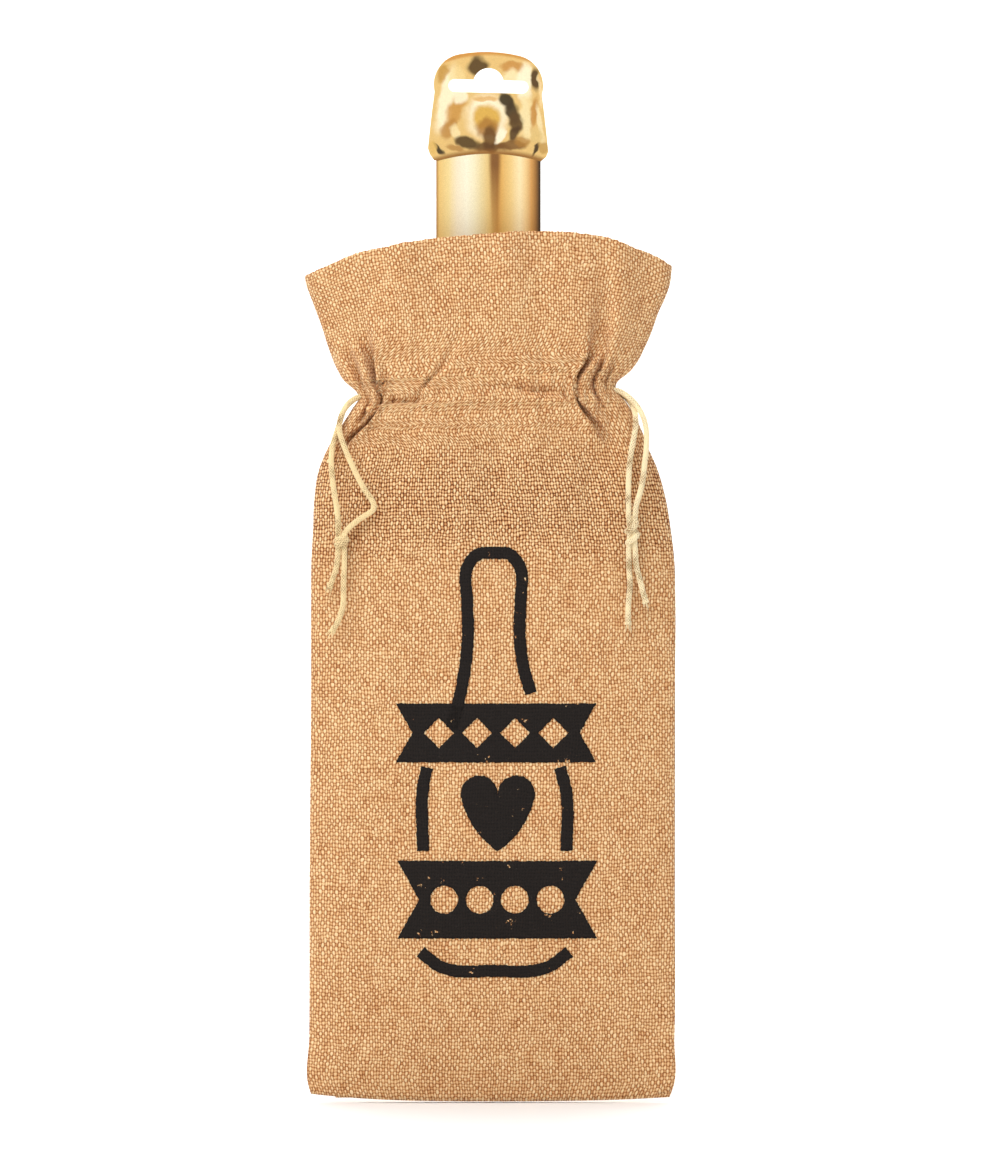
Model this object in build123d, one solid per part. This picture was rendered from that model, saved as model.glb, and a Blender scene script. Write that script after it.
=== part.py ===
from build123d import *
import math
import os

os.makedirs("parts", exist_ok=True)

# Drawstring bottle bag in coarse jute cloth, with a flat display card standing in it.
# Millimetres, +Z up, the printed front faces -Y, and the origin is the middle of the card's hang slot.

# ---- driving dimensions ----
bag_height = 351.0            # bottom seam to the highest point of the mouth's rim
slot_height = 411.5           # bottom seam to the middle of the card's hang slot
body_half_width = 74.2
body_half_depth = 9.0
body_shift = 1.8              # the body hangs this far to the right of the card's centre line
neck_height = 287.5           # middle of the drawstring channel
left_slit_height = 286.4      # each cord leaves the channel through a slit in the side edge
right_slit_height = 288.8
slit_r = 3.8
neck_half_width = 51.6
neck_half_depth = 12.4
mouth_half_width = 74.6
mouth_half_depth = 14.5
mouth_left_height = 334.5     # rim corners are lower than the rim's middle
mouth_right_height = 338.0
cloth = 0.9                   # thickness of one layer of jute
layer_gap = 0.25              # air between two layers
cord_d = 2.3
channel_gap = 2.9             # room for the cord between the two layers of the channel
channel_half_height = 3.6
hem_depth = 8.0               # the turned-in mouth hem ends this far below the channel's middle

card_t = 0.8
film_t = 0.12
card_body_width = 90.0
card_neck_width = 42.4
card_cap_width = 43.6
card_flare_left = 23.9        # half widths of the cap at its foot, wider on the right
card_flare_right = 25.0
card_height = 425.5
card_cap_height = 381.7       # lower edge of the printed cap
card_foot = 8.0
slot_length = 32.4
slot_width = 5.2
slot_dome_r = 6.15
slot_dome_rise = 1.25
card_tilt = 1.5               # the printed cap and its slot lean to the right by this angle

seam_allowance = 6.0          # width of the seam allowances turned inside
seam_half_t = 0.65
seam_inset = 0.5
bottom_allowance = 6.2
stitch_spread = 5.7           # the two stitch rows lie this far above and below the channel's middle
stitch_thread = 0.5
stitch_lift = 0.35            # the thread rests on the cloth's outer face
tack_size = (1.6, 3.2, 1.6)

knot_flat_r = 2.5             # the flat ends of a knot, where two cords enter side by side
left_knot_r = 3.1
right_knot_r = 2.75
strand_gap = 1.3              # half the distance between two cords that lie side by side


def level(height):
    # Heights are measured up from the bottom seam; the frame counts from the hang slot.
    return height - slot_height


# One row per station of the bag: height, half width, half depth, sideways shift, bluntness of the side edge.
stations = [
    (0.0, 72.8, 2.3, body_shift, 1.7),
    (7.0, 73.8, 4.0, body_shift, 2.0),
    (24.0, body_half_width, 6.2, body_shift, 2.2),
    (60.0, body_half_width, 8.2, body_shift, 2.3),
    (120.0, body_half_width, body_half_depth, body_shift, 2.4),
    (205.0, body_half_width, body_half_depth, body_shift, 2.5),
    (232.0, 72.9, 9.1, 1.3, 2.9),
    (247.0, 71.0, 9.4, 0.8, 3.5),
    (260.0, 67.2, 9.9, 0.4, 4.2),
    (270.0, 61.8, 10.8, 0.1, 5.2),
    (279.0, 55.0, 11.8, 0.0, 6.3),
    (neck_height - channel_half_height, 51.9, 12.3, 0.0, 6.6),
    (neck_height, neck_half_width, neck_half_depth, 0.0, 6.6),
    (neck_height + channel_half_height, 51.9, 12.5, 0.0, 6.6),
    (297.0, 58.6, 12.6, 0.0, 6.4),
    (307.0, 64.4, 13.0, 0.0, 6.0),
    (320.0, 69.4, 13.6, 0.0, 5.5),
    (336.0, mouth_half_width, mouth_half_depth, 0.0, 5.0),
    (bag_height + 2.0, mouth_half_width + 3.6, mouth_half_depth + 0.4, 0.0, 4.8),
]
mouth_stations = [s for s in stations if s[0] > 275.0]
print_stations = [s for s in stations if s[0] < 265.0]


def half_curve(half_width, half_depth, shift, blunt, side):
    # One side of the flat oval section, from the left edge to the right edge, bulging to -Y or +Y:
    # a quarter round at each side edge, and one long arc between them.
    edge, knee = half_width, half_width - blunt
    lag = blunt * math.cos(math.radians(45))
    left = ThreePointArc(
        (shift - edge, 0), (shift - knee - lag, side * lag), (shift - knee, side * blunt)
    )
    middle = ThreePointArc(
        (shift - knee, side * blunt), (shift, side * half_depth), (shift + knee, side * blunt)
    )
    right = ThreePointArc(
        (shift + knee, side * blunt), (shift + knee + lag, side * lag), (shift + edge, 0)
    )
    return [left, middle, right]


def closed_face(curves):
    # The face between a run of curves and the straight line from its end back to its start.
    return make_face(Curve() + [*curves, Line(curves[-1] @ 1, curves[0] @ 0)])


def half_section(station, inset, side):
    # The region between the flat oval section and y = 0, drawn in by inset.
    height, half_width, half_depth, shift, blunt = station
    outline = half_curve(half_width - inset, half_depth - inset, shift, blunt - 0.6 * inset, side)
    return Pos(0, 0, level(height)) * closed_face(outline)


def half_solid(rows, insets, side):
    return loft([half_section(row, inset, side) for row, inset in zip(rows, insets)], ruled=True)


def half_shell(rows, outer, inner, side):
    # A sheet of cloth: the outer half solid less the inner one, which is cut clean through at y = 0.
    return half_solid(rows, outer, side) - half_solid(rows, inner, side)


def above_rim(lift):
    # Everything above the arched rim of the mouth, lowered by lift for the inner layers.
    arch = ThreePointArc(
        (-mouth_half_width, level(mouth_left_height) - lift),
        (19.0, level(bag_height) - lift),
        (mouth_half_width, level(mouth_right_height) - lift),
    )
    wide = mouth_half_width + 20
    top = level(bag_height) + 30
    outline = Polyline(arch @ 1, (wide, level(330)), (wide, top), (-wide, top), (-wide, level(326)), arch @ 0)
    face = make_face(Curve() + [arch, outline])
    return extrude(Plane.XZ * face, 60, both=True)


def slab(low, high):
    # A wide block between two heights.
    return Pos(0, 0, level((low + high) / 2)) * Box(240, 120, high - low)


def slit(x, height):
    # The cord's way out through the side edge of the channel.
    return Pos(x, 0, level(height)) * Rot(0, 90, 0) * Cylinder(slit_r, 14)


rim_cut = above_rim(0)
slits = [slit(-neck_half_width, left_slit_height), slit(neck_half_width, right_slit_height)]


def panel(side):
    sheet = half_shell(stations, [0] * len(stations), [cloth] * len(stations), side)
    # The bottom fold is closed by a strip across the inside.
    sheet = sheet + (half_solid(stations[:2], [0.2, 0.2], side) & slab(-1, 1.0))
    for cut in [rim_cut, *slits]:
        sheet = sheet - cut
    return sheet


def hem_inset(height):
    # The hem lies on the panel's inside, and stands off it where the cords run.
    off = abs(height - neck_height)
    swell = max(0.0, 1.0 - max(0.0, off - channel_half_height) / 14.0)
    return cloth + layer_gap + (channel_gap - layer_gap) * swell


def hem(side):
    rows = mouth_stations
    outer = [hem_inset(row[0]) for row in rows]
    inner = [inset + cloth for inset in outer]
    sheet = half_shell(rows, outer, inner, side)
    return sheet - above_rim(0.4) - slab(260, neck_height - hem_depth + 0.1)


def print_film(side):
    # A skin just proud of the panel's face, for the ink to be cut from.
    rows = print_stations
    return half_shell(rows, [-0.16] * len(rows), [-0.04] * len(rows), side)


def section_at(height):
    # Half width, half depth, shift and bluntness at any height, between the two stations beside it.
    below = max((s for s in stations if s[0] <= height), key=lambda s: s[0])
    above = min((s for s in stations if s[0] > height), key=lambda s: s[0])
    part_way = (height - below[0]) / (above[0] - below[0])
    return [b + part_way * (a - b) for b, a in zip(below[1:], above[1:])]


def stitch_row(height):
    # A row of stitching all round the channel, standing on the outer face of the cloth.
    half_width, half_depth, shift, blunt = section_at(height)
    row = []
    for side in (-1, 1):
        outer, inner = [
            closed_face(half_curve(half_width + out, half_depth + out, shift, blunt, side))
            for out in (stitch_lift + 0.3, stitch_lift)
        ]
        row.append(extrude(Pos(0, 0, level(height)) * (outer - inner), stitch_thread / 2, both=True))
    return row


def side_seam(side):
    # The two seam allowances of a side, pressed together inside the edge.
    faces = []
    for height, half_width, _, shift, _ in print_stations:
        edge = shift + side * (half_width - cloth - seam_inset - seam_allowance / 2)
        lift = max(height, 1.4)
        faces.append(Pos(edge, 0, level(lift)) * Rectangle(seam_allowance, 2 * seam_half_t))
    return loft(faces, ruled=True)


def bottom_seam():
    width = 2 * (body_half_width - cloth - seam_inset - seam_allowance) - 5.0
    middle = level(1.4 + bottom_allowance / 2)
    return Pos(body_shift, 0, middle) * Box(width, 2 * seam_half_t, bottom_allowance)


def bar_tacks(side, slit_height):
    # Close-set thread at both ends of a slit, which stops the cloth from tearing.
    tacks = []
    for height in (slit_height - slit_r - 1.9, slit_height + slit_r + 1.9):
        half_width, _, shift, _ = section_at(height)
        x = shift + side * (half_width + tack_size[0] / 2)
        block = Pos(x, 0, level(height)) * Box(*tack_size)
        for face_side in (-1, 1):
            block = block - half_solid(mouth_stations, [-0.12] * len(mouth_stations), face_side)
        tacks.append(block)
    return tacks


def card_outline():
    # Bottle-shaped display card: a wide body inside the bag, a neck, and a foil cap with the hang slot.
    half_body, half_neck, half_cap = card_body_width / 2, card_neck_width / 2, card_cap_width / 2
    side_points = [
        (half_body, card_foot), (half_body, 196.0), (half_body - 9.0, 218.0), (half_neck + 3.0, 246.0),
        (half_neck, 262.0), (half_neck, card_cap_height),
    ]
    lower = [(x, level(h)) for x, h in side_points]
    body = Polyline(*lower, *[(-x, z) for x, z in reversed(lower)], close=True)
    card = make_face(body)
    # The cap and its slot lean a little to one side.
    flare = level(card_cap_height)
    top = level(card_height)
    cap_lines = [
        Line((-half_neck, flare - 0.8), (half_neck, flare - 0.8)),
    ]
    for side, reach in ((1, card_flare_right), (-1, card_flare_left)):
        middle = (reach + half_cap) / 2 + 0.2
        cap_lines += [
            Line((side * half_neck, flare - 0.8), (side * (reach - 0.8), flare + 1.8)),
            Line((side * (reach - 0.8), flare + 1.8), (side * reach, flare + 4.0)),
            ThreePointArc((side * reach, flare + 4.0), (side * middle, flare + 14.6),
                          (side * half_cap, flare + 27.0)),
        ]
    cap_lines += [
        ThreePointArc((half_cap, flare + 27.0), (half_cap - 2.6, top - 5.4), (half_cap - 10.0, top - 1.2)),
        ThreePointArc((half_cap - 10.0, top - 1.2), (0, top), (10.0 - half_cap, top - 1.2)),
        ThreePointArc((10.0 - half_cap, top - 1.2), (2.6 - half_cap, top - 5.4), (-half_cap, flare + 27.0)),
    ]
    cap = make_face(Curve() + cap_lines)
    above = Pos(0, slot_dome_r) * Rectangle(4 * slot_dome_r, 2 * slot_dome_r)
    dome = (Pos(0, slot_dome_rise) * Circle(slot_dome_r)) & above
    slot = SlotOverall(slot_length, slot_width) + dome
    return (card + Rot(0, 0, -card_tilt) * cap) - Rot(0, 0, -card_tilt) * slot


def display_card(outline):
    return extrude(Plane.XZ * outline, card_t / 2, both=True)


def card_print(outline):
    # The printed and foiled face is a film laminated on the front of the board.
    return extrude(Pos(0, -card_t / 2, 0) * (Plane.XZ * outline), film_t)


def stroke(points):
    # A printed line of the bottle drawing, rounded at its bends.
    return trace(Spline(*[(x, level(h)) for x, h in points]), line_width=4.9)


def ribbon(left, right, low, high, cut):
    # A printed band with swallow-tail ends and a row of cut-outs.
    middle, notch = level((low + high) / 2), (high - low) * 0.28
    band = make_face(Polyline(
        (left, level(low)), (right, level(low)), (right - notch, middle), (right, level(high)),
        (left, level(high)), (left + notch, middle), close=True,
    ))
    count = 4
    step = (right - left - 2 * notch - 6.0) / count
    for i in range(count):
        band = band - Pos(left + notch + 3.0 + step * (i + 0.5), middle) * cut
    return band


def heart(x, height, size):
    lobe = size / 4
    half = [
        ThreePointArc((0, lobe), (lobe, 2.1 * lobe), (2 * lobe, lobe)),
        ThreePointArc((2 * lobe, lobe), (1.45 * lobe, -0.45 * lobe), (0, -2 * lobe)),
    ]
    face = make_face(Curve() + [*half, Line((0, -2 * lobe), (0, lobe))])
    return Pos(x, level(height)) * (face + mirror(face, Plane.YZ))


def motif():
    # A bottle drawn in outline, crossed by two ribbons with a heart between them.
    middle = body_shift + 0.4
    neck = stroke([
        (middle - 17.0, 151.5), (middle - 12.2, 172.0), (middle - 10.4, 190.0), (middle - 10.8, 203.0),
        (middle - 10.4, 217.0), (middle - 6.5, 221.6), (middle, 222.2), (middle + 6.5, 221.6),
        (middle + 10.4, 217.0), (middle + 10.8, 203.0), (middle + 10.4, 190.0), (middle + 12.0, 176.0),
        (middle + 15.0, 165.5),
    ])
    left = stroke([(middle - 27.0, 135.6), (middle - 28.5, 128.0), (middle - 28.6, 101.8)])
    right = stroke([(middle + 26.6, 135.6), (middle + 29.0, 127.0), (middle + 29.4, 101.8)])
    foot = stroke([
        (middle - 29.6, 61.0), (middle - 22.0, 55.2), (middle, 53.3), (middle + 22.5, 55.2),
        (middle + 30.6, 61.0),
    ])
    upper = ribbon(middle - 39.6, middle + 41.4, 137.6, 161.4, RectangleRounded(8.6, 8.6, 0.4, 45))
    lower = ribbon(middle - 39.0, middle + 41.8, 66.4, 97.8, Circle(5.6))
    parts = [neck, left, right, foot, upper, lower, heart(middle + 1.6, 116.6, 30.0)]
    return [extrude(Plane.XZ * face, 30) for face in parts]


def route(points):
    return [Vector(x, y, level(height)) for x, y, height in points]


def corner_radii(points):
    # Each arc is as large as its two runs allow.
    radii = []
    for before, corner, after in zip(points, points[1:], points[2:]):
        runs = (corner - before, after - corner)
        turn = math.radians(runs[0].get_angle(runs[1]))
        radii.append(0.45 * min(run.length for run in runs) / math.tan(turn / 2))
    return radii


def cord(name, points):
    points = route(points)
    radii = corner_radii(points)
    path = FilletPolyline(*points, radius=radii)
    start = Plane(origin=path @ 0, z_dir=path % 0)
    tube = sweep(start * Circle(cord_d / 2), path=path)
    runs = [(b - a).length for a, b in zip(points, points[1:])]
    share = tube.volume / (math.pi * cord_d**2 / 4 * path.length)
    print(f"{name}: {path.length:.1f} mm, volume {share:.4f} of section times length")
    print("  runs " + " ".join(f"{run:.1f}" for run in runs))
    print("  radii " + " ".join(f"{radius:.1f}" for radius in radii))
    return tube


def knot(x, y, low, high, bulge_r):
    # An overhand knot in both ends of a cord, as one barrel with flat ends.
    half = (high - low) / 2
    barrel = ThreePointArc((knot_flat_r, -half), (bulge_r, 0), (knot_flat_r, half))
    profile = make_face(Curve() + [
        Line((0, -half), (knot_flat_r, -half)), barrel, Line((knot_flat_r, half), (0, half)),
        Line((0, half), (0, -half)),
    ])
    return Pos(x, y, level((low + high) / 2)) * revolve(Plane.XZ * profile, Axis.Z)


def channel_route(side, slit_height, run_height):
    # From inside the slit all round the neck, between the two layers of the channel, and back.
    front = [
        (-47.6, -3.75, slit_height), (-46.35, -4.75, slit_height), (-42.8, -5.5, run_height),
        (-27.0, -8.4, run_height), (-9.0, -9.98, run_height), (9.0, -10.0, run_height - 0.1),
        (27.0, -8.42, run_height), (42.9, -5.6, run_height), (47.8, -3.9, run_height),
        (49.2, -1.6, run_height),
    ]
    back = [(x, -y, height) for x, y, height in reversed(front)]
    return [(-side * x, y, height) for x, y, height in front + back]


# ---- cord routes: (x, y, height above the bottom seam), from the channel down ----
left_top, left_low = 230.2, 224.2       # flat ends of the left knot
right_top, right_low = 237.0, 224.0     # flat ends of the right knot
left_x, right_x, knot_y = -59.4, 58.0, -9.0

routes = {
    "left_cord_channel_run": channel_route(-1, left_slit_height, 285.9),
    "right_cord_channel_run": channel_route(1, right_slit_height, 289.2),
    "left_cord_front_strand": [
        (-47.6, -3.75, 286.4), (-49.4, -2.3, 286.4), (-54.2, -2.5, 284.6), (-59.0, -4.2, 280.0),
        (-60.6, -6.4, 272.8), (-57.8, -7.9, 264.4), (-54.0, -8.6, 255.6), (-50.0, -8.8, 247.4),
        (-46.8, -9.0, 242.8), (-47.8, -9.2, 239.4), (-52.0, -9.2, 237.6), (-56.2, -9.1, 235.6),
        (left_x + strand_gap, knot_y, 233.4), (left_x + strand_gap, knot_y, left_top),
    ],
    "left_cord_back_strand": [
        (-47.6, 3.75, 286.4), (-49.4, 2.3, 286.4), (-54.8, 1.9, 284.4), (-60.2, 0.2, 279.4),
        (-63.4, -3.0, 272.2), (-64.6, -6.4, 263.6), (-64.2, -7.8, 254.8), (-63.0, -8.6, 246.2),
        (-61.4, -9.0, 238.4), (left_x - strand_gap, knot_y, 234.0), (left_x - strand_gap, knot_y, left_top),
    ],
    "left_cord_short_tail": [
        (left_x - strand_gap, knot_y, left_low), (left_x - strand_gap, knot_y, 218.9),
        (-62.3, -8.9, 213.2), (-64.2, -8.6, 208.0),
    ],
    "left_cord_long_tail": [
        (left_x + strand_gap, knot_y, left_low), (left_x + strand_gap, knot_y, 217.4),
        (-58.6, -9.1, 209.6), (-58.4, -9.0, 201.8), (-60.2, -8.9, 195.2), (-63.2, -8.7, 190.2),
    ],
    "right_cord_front_strand": [
        (47.6, -3.75, 288.8), (49.4, -2.3, 288.8), (54.6, -2.6, 287.0), (60.0, -4.2, 282.2),
        (63.6, -5.8, 275.0), (63.9, -7.2, 266.2), (62.8, -8.2, 257.8), (62.2, -8.8, 249.8),
        (60.2, -9.0, 243.2), (right_x + strand_gap, knot_y, 240.0), (right_x + strand_gap, knot_y, right_top),
    ],
    "right_cord_back_strand": [
        (47.6, 3.75, 288.8), (49.4, 2.3, 288.8), (54.2, 1.8, 286.6), (58.2, -0.8, 281.8),
        (59.6, -5.2, 276.2), (58.6, -7.9, 269.6), (57.2, -8.9, 260.8), (56.6, -9.2, 252.2),
        (56.5, -9.1, 244.6), (right_x - strand_gap, knot_y, 240.6), (right_x - strand_gap, knot_y, right_top),
    ],
    "right_cord_long_tail": [
        (right_x - strand_gap, knot_y, right_low), (right_x - strand_gap, knot_y, 217.0),
        (57.4, -9.1, 209.0), (56.3, -9.0, 200.8), (56.5, -8.9, 193.4),
    ],
    "right_cord_short_tail": [
        (right_x + strand_gap, knot_y, right_low), (right_x + strand_gap, knot_y, 218.4),
        (60.9, -9.0, 212.6), (62.2, -8.9, 207.2), (63.7, -8.7, 202.0),
    ],
}

# ---- build and write every node ----
outline = card_outline()
skin = print_film(-1)
nodes = {
    "front_panel": panel(-1),
    "back_panel": panel(1),
    "front_mouth_hem": hem(-1),
    "back_mouth_hem": hem(1),
    "channel_stitch_upper": Compound(stitch_row(neck_height + stitch_spread)),
    "channel_stitch_lower": Compound(stitch_row(neck_height - stitch_spread)),
    "left_side_seam": side_seam(-1),
    "right_side_seam": side_seam(1),
    "bottom_seam": bottom_seam(),
    "left_slit_bar_tacks": Compound(bar_tacks(-1, left_slit_height)),
    "right_slit_bar_tacks": Compound(bar_tacks(1, right_slit_height)),
    "printed_motif": Compound([piece for face in motif() for piece in (face & skin).solids()]),
    "display_card": display_card(outline),
    "card_print_film": card_print(outline),
    "left_cord_knot": knot(left_x, knot_y, left_low, left_top, left_knot_r),
    "right_cord_knot": knot(right_x, knot_y, right_low, right_top, right_knot_r),
}
for name, points in routes.items():
    nodes[name] = cord(name, points)

for name, shape in nodes.items():
    export_step(shape, f"parts/{name}.step")
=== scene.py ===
import math
import bpy
import numpy as np
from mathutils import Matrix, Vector
from mathutils.geometry import delaunay_2d_cdt


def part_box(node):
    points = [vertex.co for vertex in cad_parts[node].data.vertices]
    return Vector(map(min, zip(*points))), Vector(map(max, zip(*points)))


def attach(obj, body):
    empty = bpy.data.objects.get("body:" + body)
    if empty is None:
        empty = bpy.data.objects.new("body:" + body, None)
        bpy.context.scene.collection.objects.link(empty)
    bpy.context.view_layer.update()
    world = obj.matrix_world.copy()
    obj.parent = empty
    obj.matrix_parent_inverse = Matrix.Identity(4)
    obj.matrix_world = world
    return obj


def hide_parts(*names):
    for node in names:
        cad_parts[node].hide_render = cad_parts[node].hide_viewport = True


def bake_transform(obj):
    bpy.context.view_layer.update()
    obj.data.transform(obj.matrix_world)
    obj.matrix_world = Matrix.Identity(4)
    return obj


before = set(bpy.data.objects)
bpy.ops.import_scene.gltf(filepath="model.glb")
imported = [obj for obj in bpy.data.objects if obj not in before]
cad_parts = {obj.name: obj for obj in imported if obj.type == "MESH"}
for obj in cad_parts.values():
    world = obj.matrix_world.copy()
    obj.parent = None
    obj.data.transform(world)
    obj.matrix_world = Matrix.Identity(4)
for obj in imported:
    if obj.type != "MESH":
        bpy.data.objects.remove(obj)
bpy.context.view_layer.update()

mm = 0.001
uvPerMm = 0.01      # the flat cloth's UV map counts in units of 100 mm
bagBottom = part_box("front_panel")[0][2]     # every height below is counted up from the bottom seam
rng = np.random.default_rng(11)


def level(height):
    return bagBottom + height * mm


def smoothThrough(points, at):
    # Smooth curve through given (position, value) pairs, level beyond both ends
    points = sorted(points)
    xs = np.array([p[0] for p in points], float)
    ys = np.array([p[1] for p in points], float)
    at = np.clip(np.asarray(at, float), xs[0], xs[-1])
    slopes = np.gradient(ys, xs)
    i = np.clip(np.searchsorted(xs, at) - 1, 0, len(xs) - 2)
    span = xs[i + 1] - xs[i]
    t = (at - xs[i]) / span
    rise = (2 * t**3 - 3 * t**2 + 1) * ys[i] + (-2 * t**3 + 3 * t**2) * ys[i + 1]
    return rise + ((t**3 - 2 * t**2 + t) * slopes[i] + (t**3 - t**2) * slopes[i + 1]) * span


def makeMesh(name, points, faces, uvs=None):
    # points in millimetres with heights above the bottom seam; uvs in millimetres of flat cloth
    points = np.asarray(points, float) * mm
    points[:, 2] += bagBottom
    mesh = bpy.data.meshes.new(name)
    mesh.from_pydata(points.tolist(), [], [tuple(int(i) for i in f) for f in faces])
    mesh.polygons.foreach_set("use_smooth", [True] * len(mesh.polygons))
    if uvs is not None:
        layer = mesh.uv_layers.new(name="flatCloth")
        corners = np.empty(len(mesh.loops), int)
        mesh.loops.foreach_get("vertex_index", corners)
        layer.data.foreach_set("uv", (np.asarray(uvs, float)[corners] * uvPerMm).ravel())
    mesh.validate()
    piece = bpy.data.objects.new(name, mesh)
    bpy.context.collection.objects.link(piece)
    return piece


def gridFaces(rows, columns, flip=False):
    index = np.arange(rows * columns).reshape(rows, columns)
    quads = np.stack([index[:-1, :-1], index[:-1, 1:], index[1:, 1:], index[1:, :-1]], -1)
    quads = quads.reshape(-1, 4)
    return quads[:, ::-1] if flip else quads


def thickened(piece, amount, offset=0.0):
    # offset is -1 to grow inward from the surface, 1 outward, 0 both ways
    thick = piece.modifiers.new("thickness", "SOLIDIFY")
    thick.thickness = amount * mm
    thick.offset = offset
    return piece


# Camera, lights and floor
picture = {
    "distance": 2.2,        # metres from the bag
    "height": 0.4705,       # metres that the picture is tall at the bag
    "aimX": 4.7,            # mm right of the slot, and mm above the bag's foot
    "aimHeight": 211.3,
    "sensor": 36.0,
    "farthest": 20.0,
}


def makeCamera():
    data = bpy.data.cameras.new("camera")
    data.sensor_width = picture["sensor"]
    data.lens = picture["sensor"] * picture["distance"] / picture["height"]
    data.clip_end = picture["farthest"]
    camera = bpy.data.objects.new("camera", data)
    camera.location = (picture["aimX"] * mm, -picture["distance"], level(picture["aimHeight"]))
    camera.rotation_euler = (math.pi / 2, 0, 0)
    bpy.context.collection.objects.link(camera)
    bpy.context.scene.camera = camera


lamps = {       # name: (place, size, watts, aim), in metres
    "ceiling": ((0, 0, 2.4), 4.0, 60.0, (0, 0, 0)),
    "topSoftbox": ((-0.25, -0.7, 0.6), 0.7, 7.0, (0, 0, -0.12)),
    "leftSoftbox": ((-1.35, -0.7, 0.3), 0.7, 5.6, (0, 0, -0.15)),
    "rightFill": ((1.3, -1.2, -0.05), 1.1, 2.6, (0, 0, -0.2)),
    "wallWash": ((0, 0.9, 1.6), 1.6, 60.0, (0, 2.6, 0.1)),
}
surroundings = {"light": 0.28, "seen": 1.0}     # what the room adds to the lamps, and how it looks itself


def makeLights():
    for name, (place, size, watts, aim) in lamps.items():
        data = bpy.data.lights.new(name, "AREA")
        data.size = size
        data.energy = watts
        lamp = bpy.data.objects.new(name, data)
        lamp.location = place
        lamp.rotation_euler = (Vector(aim) - Vector(place)).to_track_quat("-Z", "Y").to_euler()
        bpy.context.collection.objects.link(lamp)
    world = bpy.data.worlds.new("studio")
    world.use_nodes = True
    tree = world.node_tree
    tree.nodes["Background"].inputs["Color"].default_value = (1, 1, 1, 1)
    tree.nodes["Background"].inputs["Strength"].default_value = surroundings["light"]
    # Past the paper the studio is plain white, whichever side it is seen from
    seen = addNode(tree, "Background", {"Color": (1, 1, 1, 1), "Strength": surroundings["seen"]})
    path = addNode(tree, "LightPath")
    lit = tree.nodes["Background"].outputs[0]
    either = addNode(tree, "MixShader", {0: path.outputs["Is Camera Ray"], 1: lit, 2: seen})
    tree.links.new(either.outputs[0], tree.nodes["World Output"].inputs["Surface"])
    bpy.context.scene.world = world
    bpy.context.scene.view_settings.view_transform = "Standard"


def srgb(code):
    # sRGB hex to the linear colour that the shaders take
    parts = [int(code[i:i + 2], 16) / 255 for i in (1, 3, 5)]
    return [c / 12.92 if c <= 0.04045 else ((c + 0.055) / 1.055)**2.4 for c in parts] + [1.0]


def addNode(tree, kind, inputs=None, **settings):
    # A shader node with its settings, and its sockets set to values or linked to other nodes' outputs;
    # a node given as a value stands for its first output
    made = tree.nodes.new("ShaderNode" + kind)
    for key, value in settings.items():
        setattr(made, key, value)
    for key, value in (inputs or {}).items():
        if isinstance(value, bpy.types.Node):
            value = value.outputs[0]
        if isinstance(value, bpy.types.NodeSocket):
            tree.links.new(value, made.inputs[key])
        else:
            made.inputs[key].default_value = value
    return made


def newMaterial(name, constants):
    material = bpy.data.materials.new(name)
    material.use_nodes = True
    shader = material.node_tree.nodes["Principled BSDF"]
    for socket, value in constants.items():
        shader.inputs[socket].default_value = value
    return material, material.node_tree, shader


def setRamp(ramp, stops):
    # stops are (position, sRGB hex)
    elements = ramp.color_ramp.elements
    while len(elements) > 1:
        elements.remove(elements[-1])
    elements[0].position = stops[0][0]
    elements[0].color = srgb(stops[0][1])
    for position, code in stops[1:]:
        elements.new(position).color = srgb(code)


paper = {"half": 6.0, "depth": 1.6, "bend": 1.0, "top": 3.5, "gap": 0.6}       # metres, and mm under the bag


def makeStage():
    # Floor, a wide curve and a wall in one sheet, so no horizon shows
    half, depth, bend, top = paper["half"], paper["depth"], paper["bend"], paper["top"]
    turns = np.linspace(0.1, math.pi / 2, 14)
    profile = [(-half, 0.0), (depth, 0.0)]
    profile += [(depth + bend * math.sin(a), bend - bend * math.cos(a)) for a in turns]
    profile += [(depth + bend, top)]
    points = [(x, y, z) for y, z in profile for x in (-half, half)]
    mesh = bpy.data.meshes.new("floor")
    mesh.from_pydata(points, [], gridFaces(len(profile), 2).tolist())
    mesh.polygons.foreach_set("use_smooth", [True] * len(mesh.polygons))
    floor = bpy.data.objects.new("floor", mesh)
    floor.location.z = bagBottom - paper["gap"] * mm
    bpy.context.collection.objects.link(floor)
    # plain pale studio paper, matt
    constants = {"Base Color": srgb("#F4F3F1"), "Roughness": 0.9}
    material, _, _ = newMaterial("seamlessPaperMatt", constants)
    mesh.materials.append(material)


makeCamera()
makeLights()
makeStage()
print("camera, lights and floor made")

# Cords
cordSpec = {
    "diameter": 2.3,
    "carriers": 6,          # yarns winding each way round the cord
    "radius": 0.78,         # from the cord's middle to a yarn's middle
    "weave": 0.13,          # how far a yarn rises and dips as it crosses the others
    "yarn": 0.31,
    "lay": 7.4,             # length of cord in which a yarn goes once round
    "sides": 6,
    "step": 0.27,           # between rings of points, and the same where nobody sees the cord
    "hiddenStep": 0.5,
    "hairs": 14,            # loose fibres at a cut end
}
strandGap = 1.3             # each strand of a pair lies this far from the middle of its knot
leftTop, leftLow = 230.2, 224.2         # top and bottom of each knot
rightTop, rightLow = 237.0, 224.0
leftX, rightX, knotY = -59.4, 58.0, -9.0
slitHeights = {"left": 286.4, "right": 288.8}       # where each cord leaves the channel


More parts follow.
